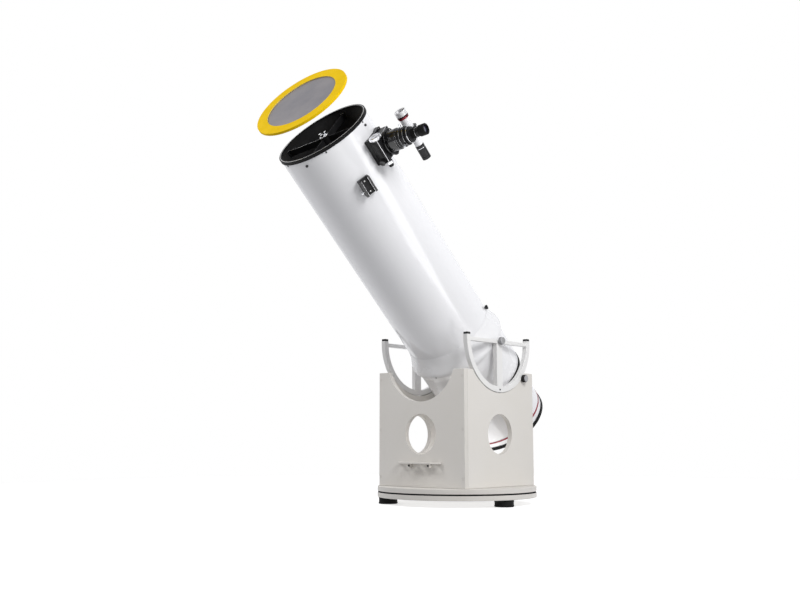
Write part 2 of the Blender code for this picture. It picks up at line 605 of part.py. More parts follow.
# ---------------------------------------------------------------- focuser
base = block("focuser_base", (-FB_W / 2, -FB_L / 2, 0.150), (FB_W / 2, FB_L / 2, FB_TOP), BLACK_METAL, focuser)
boolean(base, rod("base_saddle_cutter", TUBE_R + SEAT, -0.12, 0.12, BLACK, focuser, (0, 0, 0), (pi / 2, 0, 0),
                  STEPS * 2, tool_col))
boolean(base, rod("base_bore_cutter", DRAW_R + RUN, 0.12, 0.26, BLACK, focuser, steps=40, col=tool_col))
body = block("focuser_body", (-BLK_LO, -BLK_L / 2, FB_TOP + SEAT), (BLK_HI, BLK_L / 2, BLK_TOP), BLACK_METAL,
             focuser, edge=0.003)
boolean(body, rod("neck", NECK_R, BLK_TOP - 0.006, NECK_TOP, BLACK, focuser, steps=40, col=tool_col), 'UNION')
boolean(body, rod("body_bore_cutter", DRAW_R + RUN, 0.15, 0.28, BLACK, focuser, steps=40, col=tool_col))
boolean(body, rod("shaft_bore_cutter", SHAFT_R + RUN, -0.08, 0.08, BLACK, focuser, (-SHAFT_X, 0, SHAFT_Z),
                  (pi / 2, 0, 0), 20, tool_col))
turned("drawtube",
       [(DRAW_R - 0.001, DRAW_OUT), (DRAW_R, DRAW_OUT - 0.001), (DRAW_R, DRAW_IN), (DRAW_BORE, DRAW_IN),
        (DRAW_BORE, DRAW_OUT)],
       BLACK_METAL, focuser, steps=40, ring=True)
kf = BLK_L / 2 + SEAT
turned("focus_knob",
       [(0, kf + KNOB_L), (KNOB_R - 0.002, kf + KNOB_L), (KNOB_R, kf + KNOB_L - 0.002), (KNOB_R, kf + 0.003),
        (KNOB_R - 0.003, kf), (SHAFT_R, kf), (SHAFT_R, -kf), (KNOB2_R - 0.002, -kf), (KNOB2_R, -kf - 0.002),
        (KNOB2_R, -kf - KNOB2_L + 0.001), (KNOB2_R - 0.001, -kf - KNOB2_L), (0, -kf - KNOB2_L)],
       SILVER, focuser, (-SHAFT_X, 0, SHAFT_Z), (-pi / 2, 0, 0), steps=SMALL)
fk_at = -kf - KNOB2_L - SEAT
turned("fine_focus_knob",
       [(0, fk_at), (FINE_R, fk_at), (FINE_R, fk_at - FINE_L + 0.0015), (FINE_R - 0.0015, fk_at - FINE_L),
        (0, fk_at - FINE_L)],
       BLACK, focuser, (-SHAFT_X, 0, SHAFT_Z), (-pi / 2, 0, 0), steps=24)
turned("focus_lock_knob",
       [(0, -kf), (0.003, -kf), (0.003, -kf - 0.004), (LOCK_R, -kf - 0.004), (LOCK_R, -kf - LOCK_L + 0.0015),
        (LOCK_R - 0.0015, -kf - LOCK_L), (0, -kf - LOCK_L)],
       BLACK, focuser, (LOCK_X, 0, SHAFT_Z), (-pi / 2, 0, 0), steps=24)
adp_low = DRAW_OUT + SEAT
turned("eyepiece_adapter",
       [(ADP_NECK_R, ADP_TOP), (ADP_NECK_R, ADP_NECK), (ADP_R - 0.002, ADP_NECK), (ADP_R - 0.002, ADP_MID),
        (ADP_R, ADP_MID), (ADP_R, adp_low), (DRAW_BORE - SEAT, adp_low), (DRAW_BORE - SEAT, adp_low - ADP_SPIGOT),
        (ADP_BORE, adp_low - ADP_SPIGOT), (ADP_BORE, ADP_TOP)],
       BLACK_METAL, focuser, steps=40, ring=True)
thumb_z = (ADP_NECK + ADP_MID) / 2
for i, turn in enumerate((90.0, 205.0)):
    a = radians(turn)
    r0 = ADP_R - 0.002 + SEAT
    turned(f"adapter_thumbscrew_{i + 1}",
           [(0, r0 + THUMB_L), (THUMB_R, r0 + THUMB_L), (THUMB_R, r0 + 0.005), (0.0022, r0 + 0.005), (0.0022, r0),
            (0, r0)],
           CHROME, focuser, (0, 0, thumb_z), (0, pi / 2, a), steps=16)
sh = ADP_TOP + SEAT
turned("eyepiece",
       [(0, EYE_TOP - EYE_HOLE_D), (EYE_HOLE_R, EYE_TOP - EYE_HOLE_D), (EYE_HOLE_R, EYE_TOP),
        (EYE_CUP_R, EYE_TOP), (EYE_CUP_R, EYE_WAIST), (EYE_WAIST_R, EYE_WAIST - 0.002), (EYE_WAIST_R, sh + 0.007),
        (EYE_SHOULDER_R, sh + 0.005), (EYE_SHOULDER_R, sh), (ADP_BORE - SEAT, sh), (ADP_BORE - SEAT, sh - EYE_BARREL),
        (0, sh - EYE_BARREL)],
       BLACK, focuser, steps=40)

# ---------------------------------------------------------------- finder
shoe_low = TUBE_R + SEAT
slot_low = SHOE_TOP - SLOT_D
shoe_line = [(-SHOE_W / 2, shoe_low), (SHOE_W / 2, shoe_low), (SHOE_W / 2, SHOE_TOP), (SLOT_TOP / 2, SHOE_TOP),
             (SLOT_BOT / 2, slot_low), (-SLOT_BOT / 2, slot_low), (-SLOT_TOP / 2, SHOE_TOP), (-SHOE_W / 2, SHOE_TOP)]
ACROSS = (pi / 2, 0, 0)          # turns a flat piece's XY into XZ
sheet("finder_shoe", [shoe_line], SHOE_L / 2, BLACK_METAL, finder, (0, 0, 0), ACROSS)
sheet("spare_shoe", [shoe_line], SHOE_L / 2, BLACK_METAL, spare, (0, 0, 0), ACROSS)
ring_in = FT_R + SEAT
ring_r = ring_in + BRK_RING
half = BRK_STEM / 2
join = degrees(asin(half / ring_r))
foot_low = slot_low + SEAT
foot_top = SHOE_TOP
gap = SEAT * 1.4
line = [(half, foot_top + 0.002), (half, FND_Z - ring_r * cos(radians(join)))]
line += [(x, y + FND_Z) for x, y in arc(ring_r, -90 + join, 270 - join, 40)][1:]
line += [(-half, foot_top + 0.002), (-SLOT_TOP / 2 + gap, foot_top), (-SLOT_BOT / 2 + gap, foot_low),
         (SLOT_BOT / 2 - gap, foot_low), (SLOT_TOP / 2 - gap, foot_top)]
eye = [(x, y + FND_Z) for x, y in arc(ring_in, 0, 350, 35)]
sheet("finder_bracket", [line, eye], BRK_L / 2, BLACK_METAL, finder, (0, 0, 0), ACROSS)
turned("finder_tube",
       [(0, FT_FRONT), (FT_R, FT_FRONT), (FT_R, -BRK_L), (FT_R - 0.003, -BRK_L - 0.003), (FT_R - 0.003, FT_REAR),
        (0, FT_REAR)],
       WHITE, finder, (0, 0, FND_Z), (-pi / 2, 0, 0), steps=SMALL)
turned("finder_objective",
       [(0, OBJ_END - 0.005), (OBJ_R - 0.0025, OBJ_END - 0.005), (OBJ_R - 0.0025, OBJ_END), (OBJ_R, OBJ_END),
        (OBJ_R, FT_FRONT + 0.006), (OBJ_R - 0.0015, FT_FRONT + SEAT), (0, FT_FRONT + SEAT)],
       SILVER, finder, (0, 0, FND_Z), (-pi / 2, 0, 0), steps=SMALL)
turned("finder_eyepiece",
       [(0, FT_REAR - SEAT), (FEYE_R, FT_REAR - SEAT), (FEYE_R, FEYE_END), (FEYE_R - 0.004, FEYE_END),
        (FEYE_R - 0.004, FEYE_END + 0.005), (0, FEYE_END + 0.005)],
       BLACK, finder, (0, 0, FND_Z), (-pi / 2, 0, 0), steps=SMALL)

# ---------------------------------------------------------------- solar filter, lifted off the mouth
face_dir = Vector((FIL_TILT_X, FIL_TILT_Y, 1.0)).normalized()
lift = empty("filter_frame", tube, matrix=Matrix.Translation((0, 0, FIL_AT))
             @ face_dir.to_track_quat('Z', 'Y').to_matrix().to_4x4())
film_lo = FIL_T / 2 - FIL_LIP - SEAT
turned("solar_filter_ring",
       [(FIL_R - 0.001, FIL_T / 2), (FIL_R, FIL_T / 2 - 0.001), (FIL_R, -FIL_T / 2 + 0.001),
        (FIL_R - 0.001, -FIL_T / 2), (FIL_HOLE + FILM_LAP + SEAT, -FIL_T / 2),
        (FIL_HOLE + FILM_LAP + SEAT, FIL_T / 2 - FIL_LIP), (FIL_HOLE, FIL_T / 2 - FIL_LIP), (FIL_HOLE, FIL_T / 2)],
       YELLOW, lift, steps=STEPS, ring=True)
turned("solar_film",
       [(0, film_lo), (FIL_HOLE + FILM_LAP, film_lo), (FIL_HOLE + FILM_LAP, film_lo - FILM_T),
        (0, film_lo - FILM_T)],
       FILM, lift, steps=STEPS)

# ---------------------------------------------------------------- stand on the floor, centred
view = bpy.context.view_layer
view.update()
graph = bpy.context.evaluated_depsgraph_get()
low = Vector((1e9, 1e9, 1e9))
high = -low
for obj in body_col.objects:
    if obj.type == 'EMPTY':
        continue
    solid = obj.evaluated_get(graph)
    mesh = solid.to_mesh()
    for v in mesh.vertices:
        w = solid.matrix_world @ v.co
        low = Vector(map(min, low, w))
        high = Vector(map(max, high, w))
    solid.to_mesh_clear()
root.location = (-(low.x + high.x) / 2, -(low.y + high.y) / 2, -low.z)
view.update()
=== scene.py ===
# %% [markdown]
# # A solid-tube Dobsonian telescope
# The real one is a big white light bucket: a rolled tube on two D-shaped wheels, in a box of plain
# boards that turns on a round base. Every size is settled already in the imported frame, so this lesson
# is about skins: smooth turned metal, rounded board edges, and finishes that read from a few metres away.

# %% Load the frame
import json
from math import cos, pi, radians, sin

import bmesh
import bpy
from mathutils import Matrix, Vector, noise


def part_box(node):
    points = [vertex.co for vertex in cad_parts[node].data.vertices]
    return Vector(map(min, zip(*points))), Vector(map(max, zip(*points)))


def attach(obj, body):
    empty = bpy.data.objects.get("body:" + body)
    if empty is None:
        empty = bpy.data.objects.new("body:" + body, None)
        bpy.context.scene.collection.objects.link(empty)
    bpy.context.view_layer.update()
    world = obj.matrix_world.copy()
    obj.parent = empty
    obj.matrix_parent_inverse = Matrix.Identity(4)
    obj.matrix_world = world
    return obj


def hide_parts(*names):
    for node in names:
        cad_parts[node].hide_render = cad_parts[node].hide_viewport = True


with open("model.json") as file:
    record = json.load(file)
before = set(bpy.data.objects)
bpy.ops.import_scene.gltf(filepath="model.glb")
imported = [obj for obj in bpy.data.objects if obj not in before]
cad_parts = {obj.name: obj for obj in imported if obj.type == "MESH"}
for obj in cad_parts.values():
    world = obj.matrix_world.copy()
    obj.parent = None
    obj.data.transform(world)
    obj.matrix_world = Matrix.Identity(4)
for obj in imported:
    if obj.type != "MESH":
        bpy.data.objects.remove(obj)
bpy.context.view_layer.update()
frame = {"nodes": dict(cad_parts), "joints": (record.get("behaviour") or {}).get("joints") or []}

nodes = frame["nodes"]
joints = {j["name"]: j for j in frame["joints"]}

# %% [markdown]
# ## Work in the telescope's own directions
# The tube leans, so its pieces are easiest to draw upright and then laid into place by a matrix.
# One matrix puts local Z along the tube; others stand on the tube's wall, with local Z pointing out
# of it, for the focuser and the finder. They hang on the joints' own positions.

# %% Frames of the tube, the focuser and the finder
ELEVATION = 42.97                 # degrees above the horizon
TUBE_R = 0.184
pivot = Vector(joints["azimuth_turn"]["pos_m"])
trunnion = Vector(joints["altitude_tilt"]["pos_m"])
base = Matrix.Translation((pivot.x, pivot.y, 0.0))
hub = Matrix.Translation(trunnion)
tube = hub @ Matrix.Rotation(radians(90 - ELEVATION), 4, 'X')


def on_tube(turn, along):
    """Local Z out through the wall, local Y along the tube, turn degrees round from +X."""
    a = radians(turn)
    return tube @ Matrix(((-sin(a), 0, cos(a), 0), (cos(a), 0, sin(a), 0), (0, 1, 0, along), (0, 0, 0, 1)))


FOCUSER_TURN = 10.0
MIDDLE = 0.948                    # focuser's place along the tube
focuser = on_tube(FOCUSER_TURN, MIDDLE)
finder = on_tube(36.0, 0.914)
spare = on_tube(-33.0, 0.870)
lean = Vector((0.0771, -0.0931, 1.0)).normalized()
lifted = tube @ Matrix.Translation((0, 0, 1.2132)) @ lean.to_track_quat('Z', 'Y').to_matrix().to_4x4()
print("tube points to", [round(v, 3) for v in tube.col[2][:3]])

# %% [markdown]
# ## Shared surface effects
# Several finishes need the same two things: a fine grain that catches light, and a soft mottling that
# stops a big plain face from looking computed. Each is a node group with its own dials, so a board and
# a casting can use one recipe at different scales.

# %% Node groups: grain and mottle
def node_group(name, inputs, outputs):
    group = bpy.data.node_groups.new(name, 'ShaderNodeTree')
    for label, kind, value in inputs:
        socket = group.interface.new_socket(name=label, in_out='INPUT', socket_type=kind)
        socket.default_value = value
    for label, kind in outputs:
        group.interface.new_socket(name=label, in_out='OUTPUT', socket_type=kind)
    return group, group.nodes.new('NodeGroupInput'), group.nodes.new('NodeGroupOutput')


def make_grain():
    """A fine bumpy height: noise with a little cell pattern in it."""
    g, gin, gout = node_group("fine_grain",
                              [("Scale", 'NodeSocketFloat', 400.0), ("Cells", 'NodeSocketFloat', 0.3)],
                              [("Height", 'NodeSocketFloat')])
    where = g.nodes.new('ShaderNodeTexCoord')
    soft = g.nodes.new('ShaderNodeTexNoise')
    soft.inputs['Detail'].default_value = 4.0
    cells = g.nodes.new('ShaderNodeTexVoronoi')
    mix = g.nodes.new('ShaderNodeMix')
    for tex in (soft, cells):
        g.links.new(where.outputs['Object'], tex.inputs['Vector'])
        g.links.new(gin.outputs['Scale'], tex.inputs['Scale'])
    g.links.new(gin.outputs['Cells'], mix.inputs['Factor'])
    g.links.new(soft.outputs['Fac'], mix.inputs['A'])
    g.links.new(cells.outputs['Distance'], mix.inputs['B'])
    g.links.new(mix.outputs['Result'], gout.inputs['Height'])
    return g


def make_mottle():
    """A colour that drifts between two tones, and a roughness that drifts with it."""
    g, gin, gout = node_group("mottle",
                              [("Light", 'NodeSocketColor', (1, 1, 1, 1)),
                               ("Dark", 'NodeSocketColor', (0, 0, 0, 1)), ("Scale", 'NodeSocketFloat', 6.0),
                               ("Smooth", 'NodeSocketFloat', 0.3), ("Rough", 'NodeSocketFloat', 0.4)],
                              [("Colour", 'NodeSocketColor'), ("Roughness", 'NodeSocketFloat')])
    where = g.nodes.new('ShaderNodeTexCoord')
    drift = g.nodes.new('ShaderNodeTexNoise')
    drift.inputs['Detail'].default_value = 5.0
    drift.inputs['Roughness'].default_value = 0.6
    spread = g.nodes.new('ShaderNodeMapRange')
    spread.inputs['From Min'].default_value = 0.35
    spread.inputs['From Max'].default_value = 0.65
    tone = g.nodes.new('ShaderNodeMix')
    tone.data_type = 'RGBA'
    rough = g.nodes.new('ShaderNodeMix')
    g.links.new(where.outputs['Object'], drift.inputs['Vector'])
    g.links.new(gin.outputs['Scale'], drift.inputs['Scale'])
    g.links.new(drift.outputs['Fac'], spread.inputs['Value'])
    for mix in (tone, rough):
        g.links.new(spread.outputs['Result'], mix.inputs['Factor'])
    g.links.new(gin.outputs['Light'], tone.inputs[6])
    g.links.new(gin.outputs['Dark'], tone.inputs[7])
    g.links.new(gin.outputs['Smooth'], rough.inputs['A'])
    g.links.new(gin.outputs['Rough'], rough.inputs['B'])
    g.links.new(tone.outputs[2], gout.inputs['Colour'])
    g.links.new(rough.outputs['Result'], gout.inputs['Roughness'])
    return g


grain_group = make_grain()
mottle_group = make_mottle()
print("groups:", grain_group.name, mottle_group.name)

# %% [markdown]
# ## One recipe for most finishes
# Paint, laminate, rubber and moulded plastic differ in four dials: two near tones, how rough they are,
# how metallic, and how coarse the grain is. A helper wires the two groups into a Principled shader
# and leaves the shader itself in the material.

# %% A finish helper
def finish(name, light, dark, smooth, rough, drift=6.0, metal=0.0, grain=400.0, cells=0.3, depth=0.1,
           height=0.0002, **dials):
    """A Principled material with drifting tone and grain. Other dials set the shader's own sockets."""
    m = bpy.data.materials.new(name)
    m.use_nodes = True
    tree = m.node_tree
    shader = tree.nodes['Principled BSDF']
    shader.inputs['Metallic'].default_value = metal
    for label, value in dials.items():
        shader.inputs[label.replace("_", " ")].default_value = value
    tone = tree.nodes.new('ShaderNodeGroup')
    tone.node_tree = mottle_group
    tone.inputs['Light'].default_value = (*light, 1)
    tone.inputs['Dark'].default_value = (*dark, 1)
    tone.inputs['Scale'].default_value = drift
    tone.inputs['Smooth'].default_value = smooth
    tone.inputs['Rough'].default_value = rough
    tree.links.new(tone.outputs['Colour'], shader.inputs['Base Color'])
    tree.links.new(tone.outputs['Roughness'], shader.inputs['Roughness'])
    if depth:
        bumps = tree.nodes.new('ShaderNodeGroup')
        bumps.node_tree = grain_group
        bumps.inputs['Scale'].default_value = grain
        bumps.inputs['Cells'].default_value = cells
        bump = tree.nodes.new('ShaderNodeBump')
        bump.inputs['Strength'].default_value = depth
        bump.inputs['Distance'].default_value = height
        tree.links.new(bumps.outputs['Height'], bump.inputs['Height'])
        tree.links.new(bump.outputs['Normal'], shader.inputs['Normal'])
    return m


LAMINATE = finish("board_laminate", (0.70, 0.675, 0.64), (0.675, 0.65, 0.61), 0.42, 0.55, 3.0, grain=900,
                  depth=0.35, height=0.0001)
EDGE_BAND = finish("board_edging", (0.66, 0.635, 0.60), (0.63, 0.605, 0.565), 0.45, 0.6, 9.0, grain=700,
                   depth=0.3)
ENAMEL = finish("tube_enamel", (0.83, 0.83, 0.845), (0.81, 0.81, 0.83), 0.13, 0.2, 2.0, grain=160, cells=0.0,
                depth=0.05, Coat_Weight=0.35, Coat_Roughness=0.06)
FLOCK = finish("black_flock", (0.010, 0.010, 0.011), (0.020, 0.020, 0.021), 0.9, 1.0, 25.0, grain=1500,
               cells=0.6, depth=0.8, height=0.0006, Sheen_Weight=0.25, Specular_IOR_Level=0.15)
CRADLE = finish("cradle_white", (0.82, 0.82, 0.83), (0.80, 0.80, 0.815), 0.22, 0.32, 4.0, grain=500,
                depth=0.1)
POWDER = finish("powder_coat", (0.78, 0.775, 0.765), (0.755, 0.75, 0.74), 0.34, 0.46, 10.0, grain=1300,
                cells=0.5, depth=0.45)
RUBBER = finish("black_rubber", (0.005, 0.005, 0.005), (0.010, 0.0098, 0.0095), 0.6, 0.8, 14.0, grain=700,
                cells=0.5, depth=0.5, Specular_IOR_Level=0.15)
BLACK = finish("black_moulding", (0.007, 0.007, 0.008), (0.013, 0.013, 0.014), 0.3, 0.45, 20.0, grain=1100,
               depth=0.25, Specular_IOR_Level=0.32)
DEEP_BLACK = finish("deep_black", (0.003, 0.003, 0.003), (0.006, 0.006, 0.006), 0.5, 0.65, 20.0, grain=1100,
                    depth=0.2, Specular_IOR_Level=0.12)
GLOSS_BLACK = finish("black_gloss", (0.006, 0.006, 0.007), (0.010, 0.010, 0.011), 0.08, 0.15, 12.0, grain=500,
                     depth=0.05, Coat_Weight=0.3)
ANODISED = finish("black_anodised", (0.006, 0.006, 0.007), (0.012, 0.012, 0.013), 0.2, 0.34, 30.0, grain=1800,
                  depth=0.1, Specular_IOR_Level=0.22)
GREY = finish("grey_moulding", (0.40, 0.40, 0.41), (0.36, 0.36, 0.37), 0.35, 0.5, 20.0, grain=900, depth=0.25)
SILVER = finish("silver_anodised", (0.80, 0.80, 0.82), (0.70, 0.70, 0.72), 0.18, 0.32, 30.0, metal=1.0,
                grain=1500, depth=0.15)
CHROME = finish("bright_steel", (0.82, 0.83, 0.85), (0.74, 0.75, 0.77), 0.06, 0.16, 40.0, metal=1.0,
                grain=900, depth=0.04)
STEEL = finish("zinc_steel", (0.60, 0.60, 0.60), (0.50, 0.50, 0.49), 0.28, 0.45, 30.0, metal=1.0, grain=800,
               depth=0.2)
PTFE = finish("glide_plastic", (0.78, 0.78, 0.76), (0.74, 0.74, 0.72), 0.35, 0.5, 20.0, grain=600, depth=0.15)
CELL = finish("pale_metal", (0.80, 0.80, 0.81), (0.72, 0.72, 0.73), 0.3, 0.42, 25.0, metal=0.35, grain=1200,
              depth=0.1)
RED = finish("red_band", (0.30, 0.004, 0.022), (0.25, 0.003, 0.018), 0.3, 0.4, 14.0, grain=500, depth=0.05)
GARNET = finish("dark_red_ring", (0.20, 0.012, 0.025), (0.14, 0.008, 0.016), 0.15, 0.3, 30.0, metal=0.6,
                grain=900, depth=0.1)
CARD = finish("yellow_card", (0.80, 0.53, 0.004), (0.74, 0.48, 0.003), 0.7, 0.85, 16.0, grain=800, cells=0.15,
              depth=0.4, height=0.0002, Specular_IOR_Level=0.08)
CARD_EDGE = finish("card_edge", (0.80, 0.62, 0.20), (0.66, 0.50, 0.14), 0.8, 0.95, 60.0, grain=1500,
                   depth=0.6)
print("finishes:", len(bpy.data.materials))

# %% [markdown]
# ## Glass, mirror and solar film
# A mirror is almost all reflection, so it needs no grain. Lens glass in an eyepiece reads as a dark
# disc with a coloured coating. The film is a thin mirror-like foil with long soft wrinkles.

# %% Glass, mirror and film
MIRROR = finish("aluminised_glass", (0.90, 0.91, 0.93), (0.88, 0.89, 0.91), 0.02, 0.035, 8.0, metal=1.0,
                depth=0.0)
LENS = finish("coated_lens", (0.012, 0.020, 0.035), (0.020, 0.012, 0.040), 0.03, 0.06, 60.0, depth=0.0,
              Coat_Weight=1.0, Coat_Roughness=0.02, Specular_IOR_Level=0.9)
FILM = finish("solar_film", (0.25, 0.232, 0.24), (0.17, 0.168, 0.19), 0.34, 0.46, 4.0, metal=0.3, grain=22,
              cells=0.0, depth=0.12, height=0.002)
print("optics:", MIRROR.name, LENS.name, FILM.name)

# %% [markdown]
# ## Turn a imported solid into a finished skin
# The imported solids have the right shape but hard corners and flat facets. A copy is merged, its sharp
# edges get a small round so they catch a highlight, and weighted normals keep the large faces flat.
# The same closing steps serve every new piece.

# %% Helpers that finish a piece
def keep(bm, name, coats, body, stands_for=(), pick=None, soft=32, weighted=True):
    """Writes a bmesh as a piece that rides on a body. pick(centre, normal) chooses each face's coat."""
    mesh = bpy.data.meshes.new(name)
    if pick:
        for f in bm.faces:
            f.material_index = pick(f.calc_center_median(), f.normal)
    bm.to_mesh(mesh)
    bm.free()
    for coat in coats:
        mesh.materials.append(coat)
    mesh.shade_smooth()
    mesh.set_sharp_from_angle(angle=radians(soft))
    piece = bpy.data.objects.new(name, mesh)
    bpy.context.scene.collection.objects.link(piece)
    if weighted:
        piece.modifiers.new("flat faces", 'WEIGHTED_NORMAL').keep_sharp = True
    if stands_for:
        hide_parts(*stands_for)
    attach(piece, body)
    return piece


def round_edges(bm, width, segments=2, above=35):
    edges = [e for e in bm.edges if len(e.link_faces) == 2 and e.calc_face_angle() > radians(above)]
    if edges and width:
        bmesh.ops.bevel(bm, geom=edges, offset=width, segments=segments, affect='EDGES', profile=0.5,
                        material=-1, clamp_overlap=True)


def refine(node, coats, body, width=0.0006, pick=None):
    """A rounded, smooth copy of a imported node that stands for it."""
    bm = bmesh.new()
    bm.from_mesh(nodes[node].data)
    bmesh.ops.remove_doubles(bm, verts=bm.verts, dist=0.00001)
    bmesh.ops.dissolve_limit(bm, angle_limit=radians(1), verts=bm.verts, edges=bm.edges)
    round_edges(bm, width)
    bm.normal_update()
    return keep(bm, node + "_skin", coats, body, (node,), pick)


def turned(name, profile, coats, body, place, stands_for=(), steps=72, ring=False, width=0.0004,
           pick=None, knurl=None):
    """Spins a profile of (r, z) points, top to bottom, and lays it into place.

    pick works in the piece's own upright frame. knurl=(low, high, radius, depth) cuts ribs round the rim.
    """
    bm = bmesh.new()
    verts = [bm.verts.new((r, 0, z)) for r, z in profile]
    ends = verts[1:] + verts[:1] if ring else verts[1:]
    edges = [bm.edges.new(pair) for pair in zip(verts, ends)]
    bmesh.ops.spin(bm, geom=verts + edges, cent=(0, 0, 0), axis=(0, 0, 1), angle=2 * pi, steps=steps,
                   use_merge=True)
    bmesh.ops.remove_doubles(bm, verts=bm.verts, dist=0.000005)
    bmesh.ops.recalc_face_normals(bm, faces=bm.faces)
    if knurl:
        low, high, radius, depth = knurl
        rim = [f for f in bm.faces if low < f.calc_center_median().z < high
               and f.calc_center_median().xy.length > radius * 0.97 and abs(f.normal.z) < 0.3]
        bmesh.ops.inset_individual(bm, faces=rim, thickness=depth * 0.5, depth=-depth)
    elif width:
        round_edges(bm, width)
    bm.normal_update()
    if pick:
        for f in bm.faces:
            f.material_index = pick(f.calc_center_median(), f.normal)
    bm.transform(place)
    return keep(bm, name, coats, body, stands_for)


def studs(name, spots, radius, height, coats, body, socket=0.45, steps=20):
    """Round screw heads with a driver recess, one at each matrix in spots, in one mesh."""
    bm = bmesh.new()
    for spot in spots:
        head = bmesh.ops.create_cone(bm, cap_ends=True, segments=steps, radius1=radius, radius2=radius * 0.9,
                                     depth=height, matrix=spot @ Matrix.Translation((0, 0, height / 2)))
        out = (spot.to_3x3() @ Vector((0, 0, 1))).normalized()
        faces = {f for v in head["verts"] for f in v.link_faces}
        top = [f for f in faces if f.normal.dot(out) > 0.9 and len(f.verts) > 4]
        bmesh.ops.inset_region(bm, faces=top, thickness=radius * (1 - socket), depth=0)
        bmesh.ops.inset_region(bm, faces=top, thickness=0.00005, depth=-height * 0.5)
    return keep(bm, name, coats, body)


def slab(name, low, high, place, coats, body, width=0.0008):
    """A rounded block between two corners, laid into place."""
    bm = bmesh.new()
    size = [b - a for a, b in zip(low, high)]
    middle = [(a + b) / 2 for a, b in zip(low, high)]
    bmesh.ops.create_cube(bm, size=1.0, matrix=Matrix.Translation(middle) @ Matrix.Diagonal((*size, 1.0)))
    round_edges(bm, width)
    bm.transform(place)
    return keep(bm, name, coats, body)


print("helpers ready")

# %% [markdown]
# ## The camera, the floor and the light
# The camera stands low and to the right of the front board, a little over four metres away, and looks
# slightly up. The floor is a wide round sheet that glows a little, so it stays pale to its rim, but
# isn't seen by bounced light. A softbox on the right makes the bright side and one high on the left
# throws the shadows. A tall one further round the side draws the long streak down the glossy tube, and
# a small one lifts the inside of the rocker box. The room fills the shade, and is brightest behind the
# telescope, as a lit backdrop is.

# %% Camera
EYE = Vector((2.5699, -3.1942, 0.2651))
HEADING, TILT = radians(42.10), radians(8.07)
LENS_MM = 43.81
camera = bpy.data.objects.new("camera", bpy.data.cameras.new("camera"))
bpy.context.scene.collection.objects.link(camera)
camera.data.lens = LENS_MM
camera.data.sensor_width = 36.0
camera.matrix_world = (Matrix.Translation(base.translation + EYE) @ Matrix.Rotation(HEADING, 4, 'Z')
                       @ Matrix.Rotation(pi / 2 + TILT, 4, 'X'))
bpy.context.scene.camera = camera
print("camera at", [round(v, 2) for v in camera.location])

# %% Floor, lamps and room
def disc_of_floor(radius):
    bm = bmesh.new()
    bmesh.ops.create_circle(bm, cap_ends=True, segments=96, radius=radius)
    mesh = bpy.data.meshes.new("floor")
    bm.to_mesh(mesh)
    bm.free()
    floor = bpy.data.objects.new("floor", mesh)
    bpy.context.scene.collection.objects.link(floor)
    mesh.materials.append(finish("floor_paper", (0.93, 0.93, 0.93), (0.92, 0.92, 0.92), 0.7, 0.8, 1.0,
                                 depth=0.0, Emission_Color=(1, 1, 1, 1), Emission_Strength=FLOOR_GLOW))
    floor.location = (base.translation.x, base.translation.y, -0.0005)
    floor.visible_diffuse = False


def softbox(name, at, aim, wide, high, watts):
    lamp = bpy.data.objects.new(name, bpy.data.lights.new(name, 'AREA'))
    bpy.context.scene.collection.objects.link(lamp)
    lamp.data.shape = 'RECTANGLE'
    lamp.data.size = wide
    lamp.data.size_y = high
    lamp.data.energy = watts
    lamp.visible_camera = False
    lamp.location = at
    lamp.rotation_euler = (Vector(aim) - Vector(at)).to_track_quat('-Z', 'Y').to_euler()


FLOOR_GLOW = 0.5
ROOM = 0.38                       # the room in front of the telescope
BACKDROP = 1.0                    # the bright wall behind it
disc_of_floor(3.0)
middle = base.translation + Vector((0, -0.35, 0.8))
softbox("key_right", middle + Vector((3.0, -1.0, 1.9)), middle + Vector((0, -0.2, 0.2)), 1.4, 1.4, 84)
softbox("strip_right", middle + Vector((2.2, 0.6, -0.1)), middle + Vector((0, -0.1, 0.2)), 0.7, 1.4, 10)
softbox("inside_box", base.translation + Vector((0, 0.12, 0.09)), base.translation + Vector((0, 0.12, 0.6)),
        0.3, 0.2, 0.45)
softbox("high_left", middle + Vector((-1.9, -2.2, 2.0)), middle, 1.0, 1.0, 42)
world = bpy.data.worlds.new("room")
bpy.context.scene.world = world
world.use_nodes = True
wt = world.node_tree
fill = wt.nodes['Background']
fill.inputs['Color'].default_value = (0.97, 0.975, 1.0, 1)
way = wt.nodes.new('ShaderNodeTexCoord')
behind = wt.nodes.new('ShaderNodeVectorMath')
behind.operation = 'DOT_PRODUCT'
behind.inputs[1].default_value = (-sin(HEADING), cos(HEADING), 0)
glow = wt.nodes.new('ShaderNodeMapRange')
glow.interpolation_type = 'SMOOTHSTEP'
for label, value in (('From Min', -0.1), ('From Max', 0.8), ('To Min', ROOM), ('To Max', BACKDROP)):
    glow.inputs[label].default_value = value
wt.links.new(way.outputs['Generated'], behind.inputs[0])
wt.links.new(behind.outputs['Value'], glow.inputs['Value'])
wt.links.new(glow.outputs['Result'], fill.inputs['Strength'])
seen = wt.nodes.new('ShaderNodeBackground')
seen.inputs['Color'].default_value = (1, 1, 1, 1)
seen.inputs['Strength'].default_value = 1.0
path = wt.nodes.new('ShaderNodeLightPath')
switch = wt.nodes.new('ShaderNodeMixShader')
wt.links.new(path.outputs['Is Camera Ray'], switch.inputs['Fac'])
wt.links.new(fill.outputs[0], switch.inputs[1])
wt.links.new(seen.outputs[0], switch.inputs[2])
wt.links.new(switch.outputs[0], wt.nodes['World Output'].inputs['Surface'])
bpy.context.scene.view_settings.view_transform = 'Standard'
print("stage set")

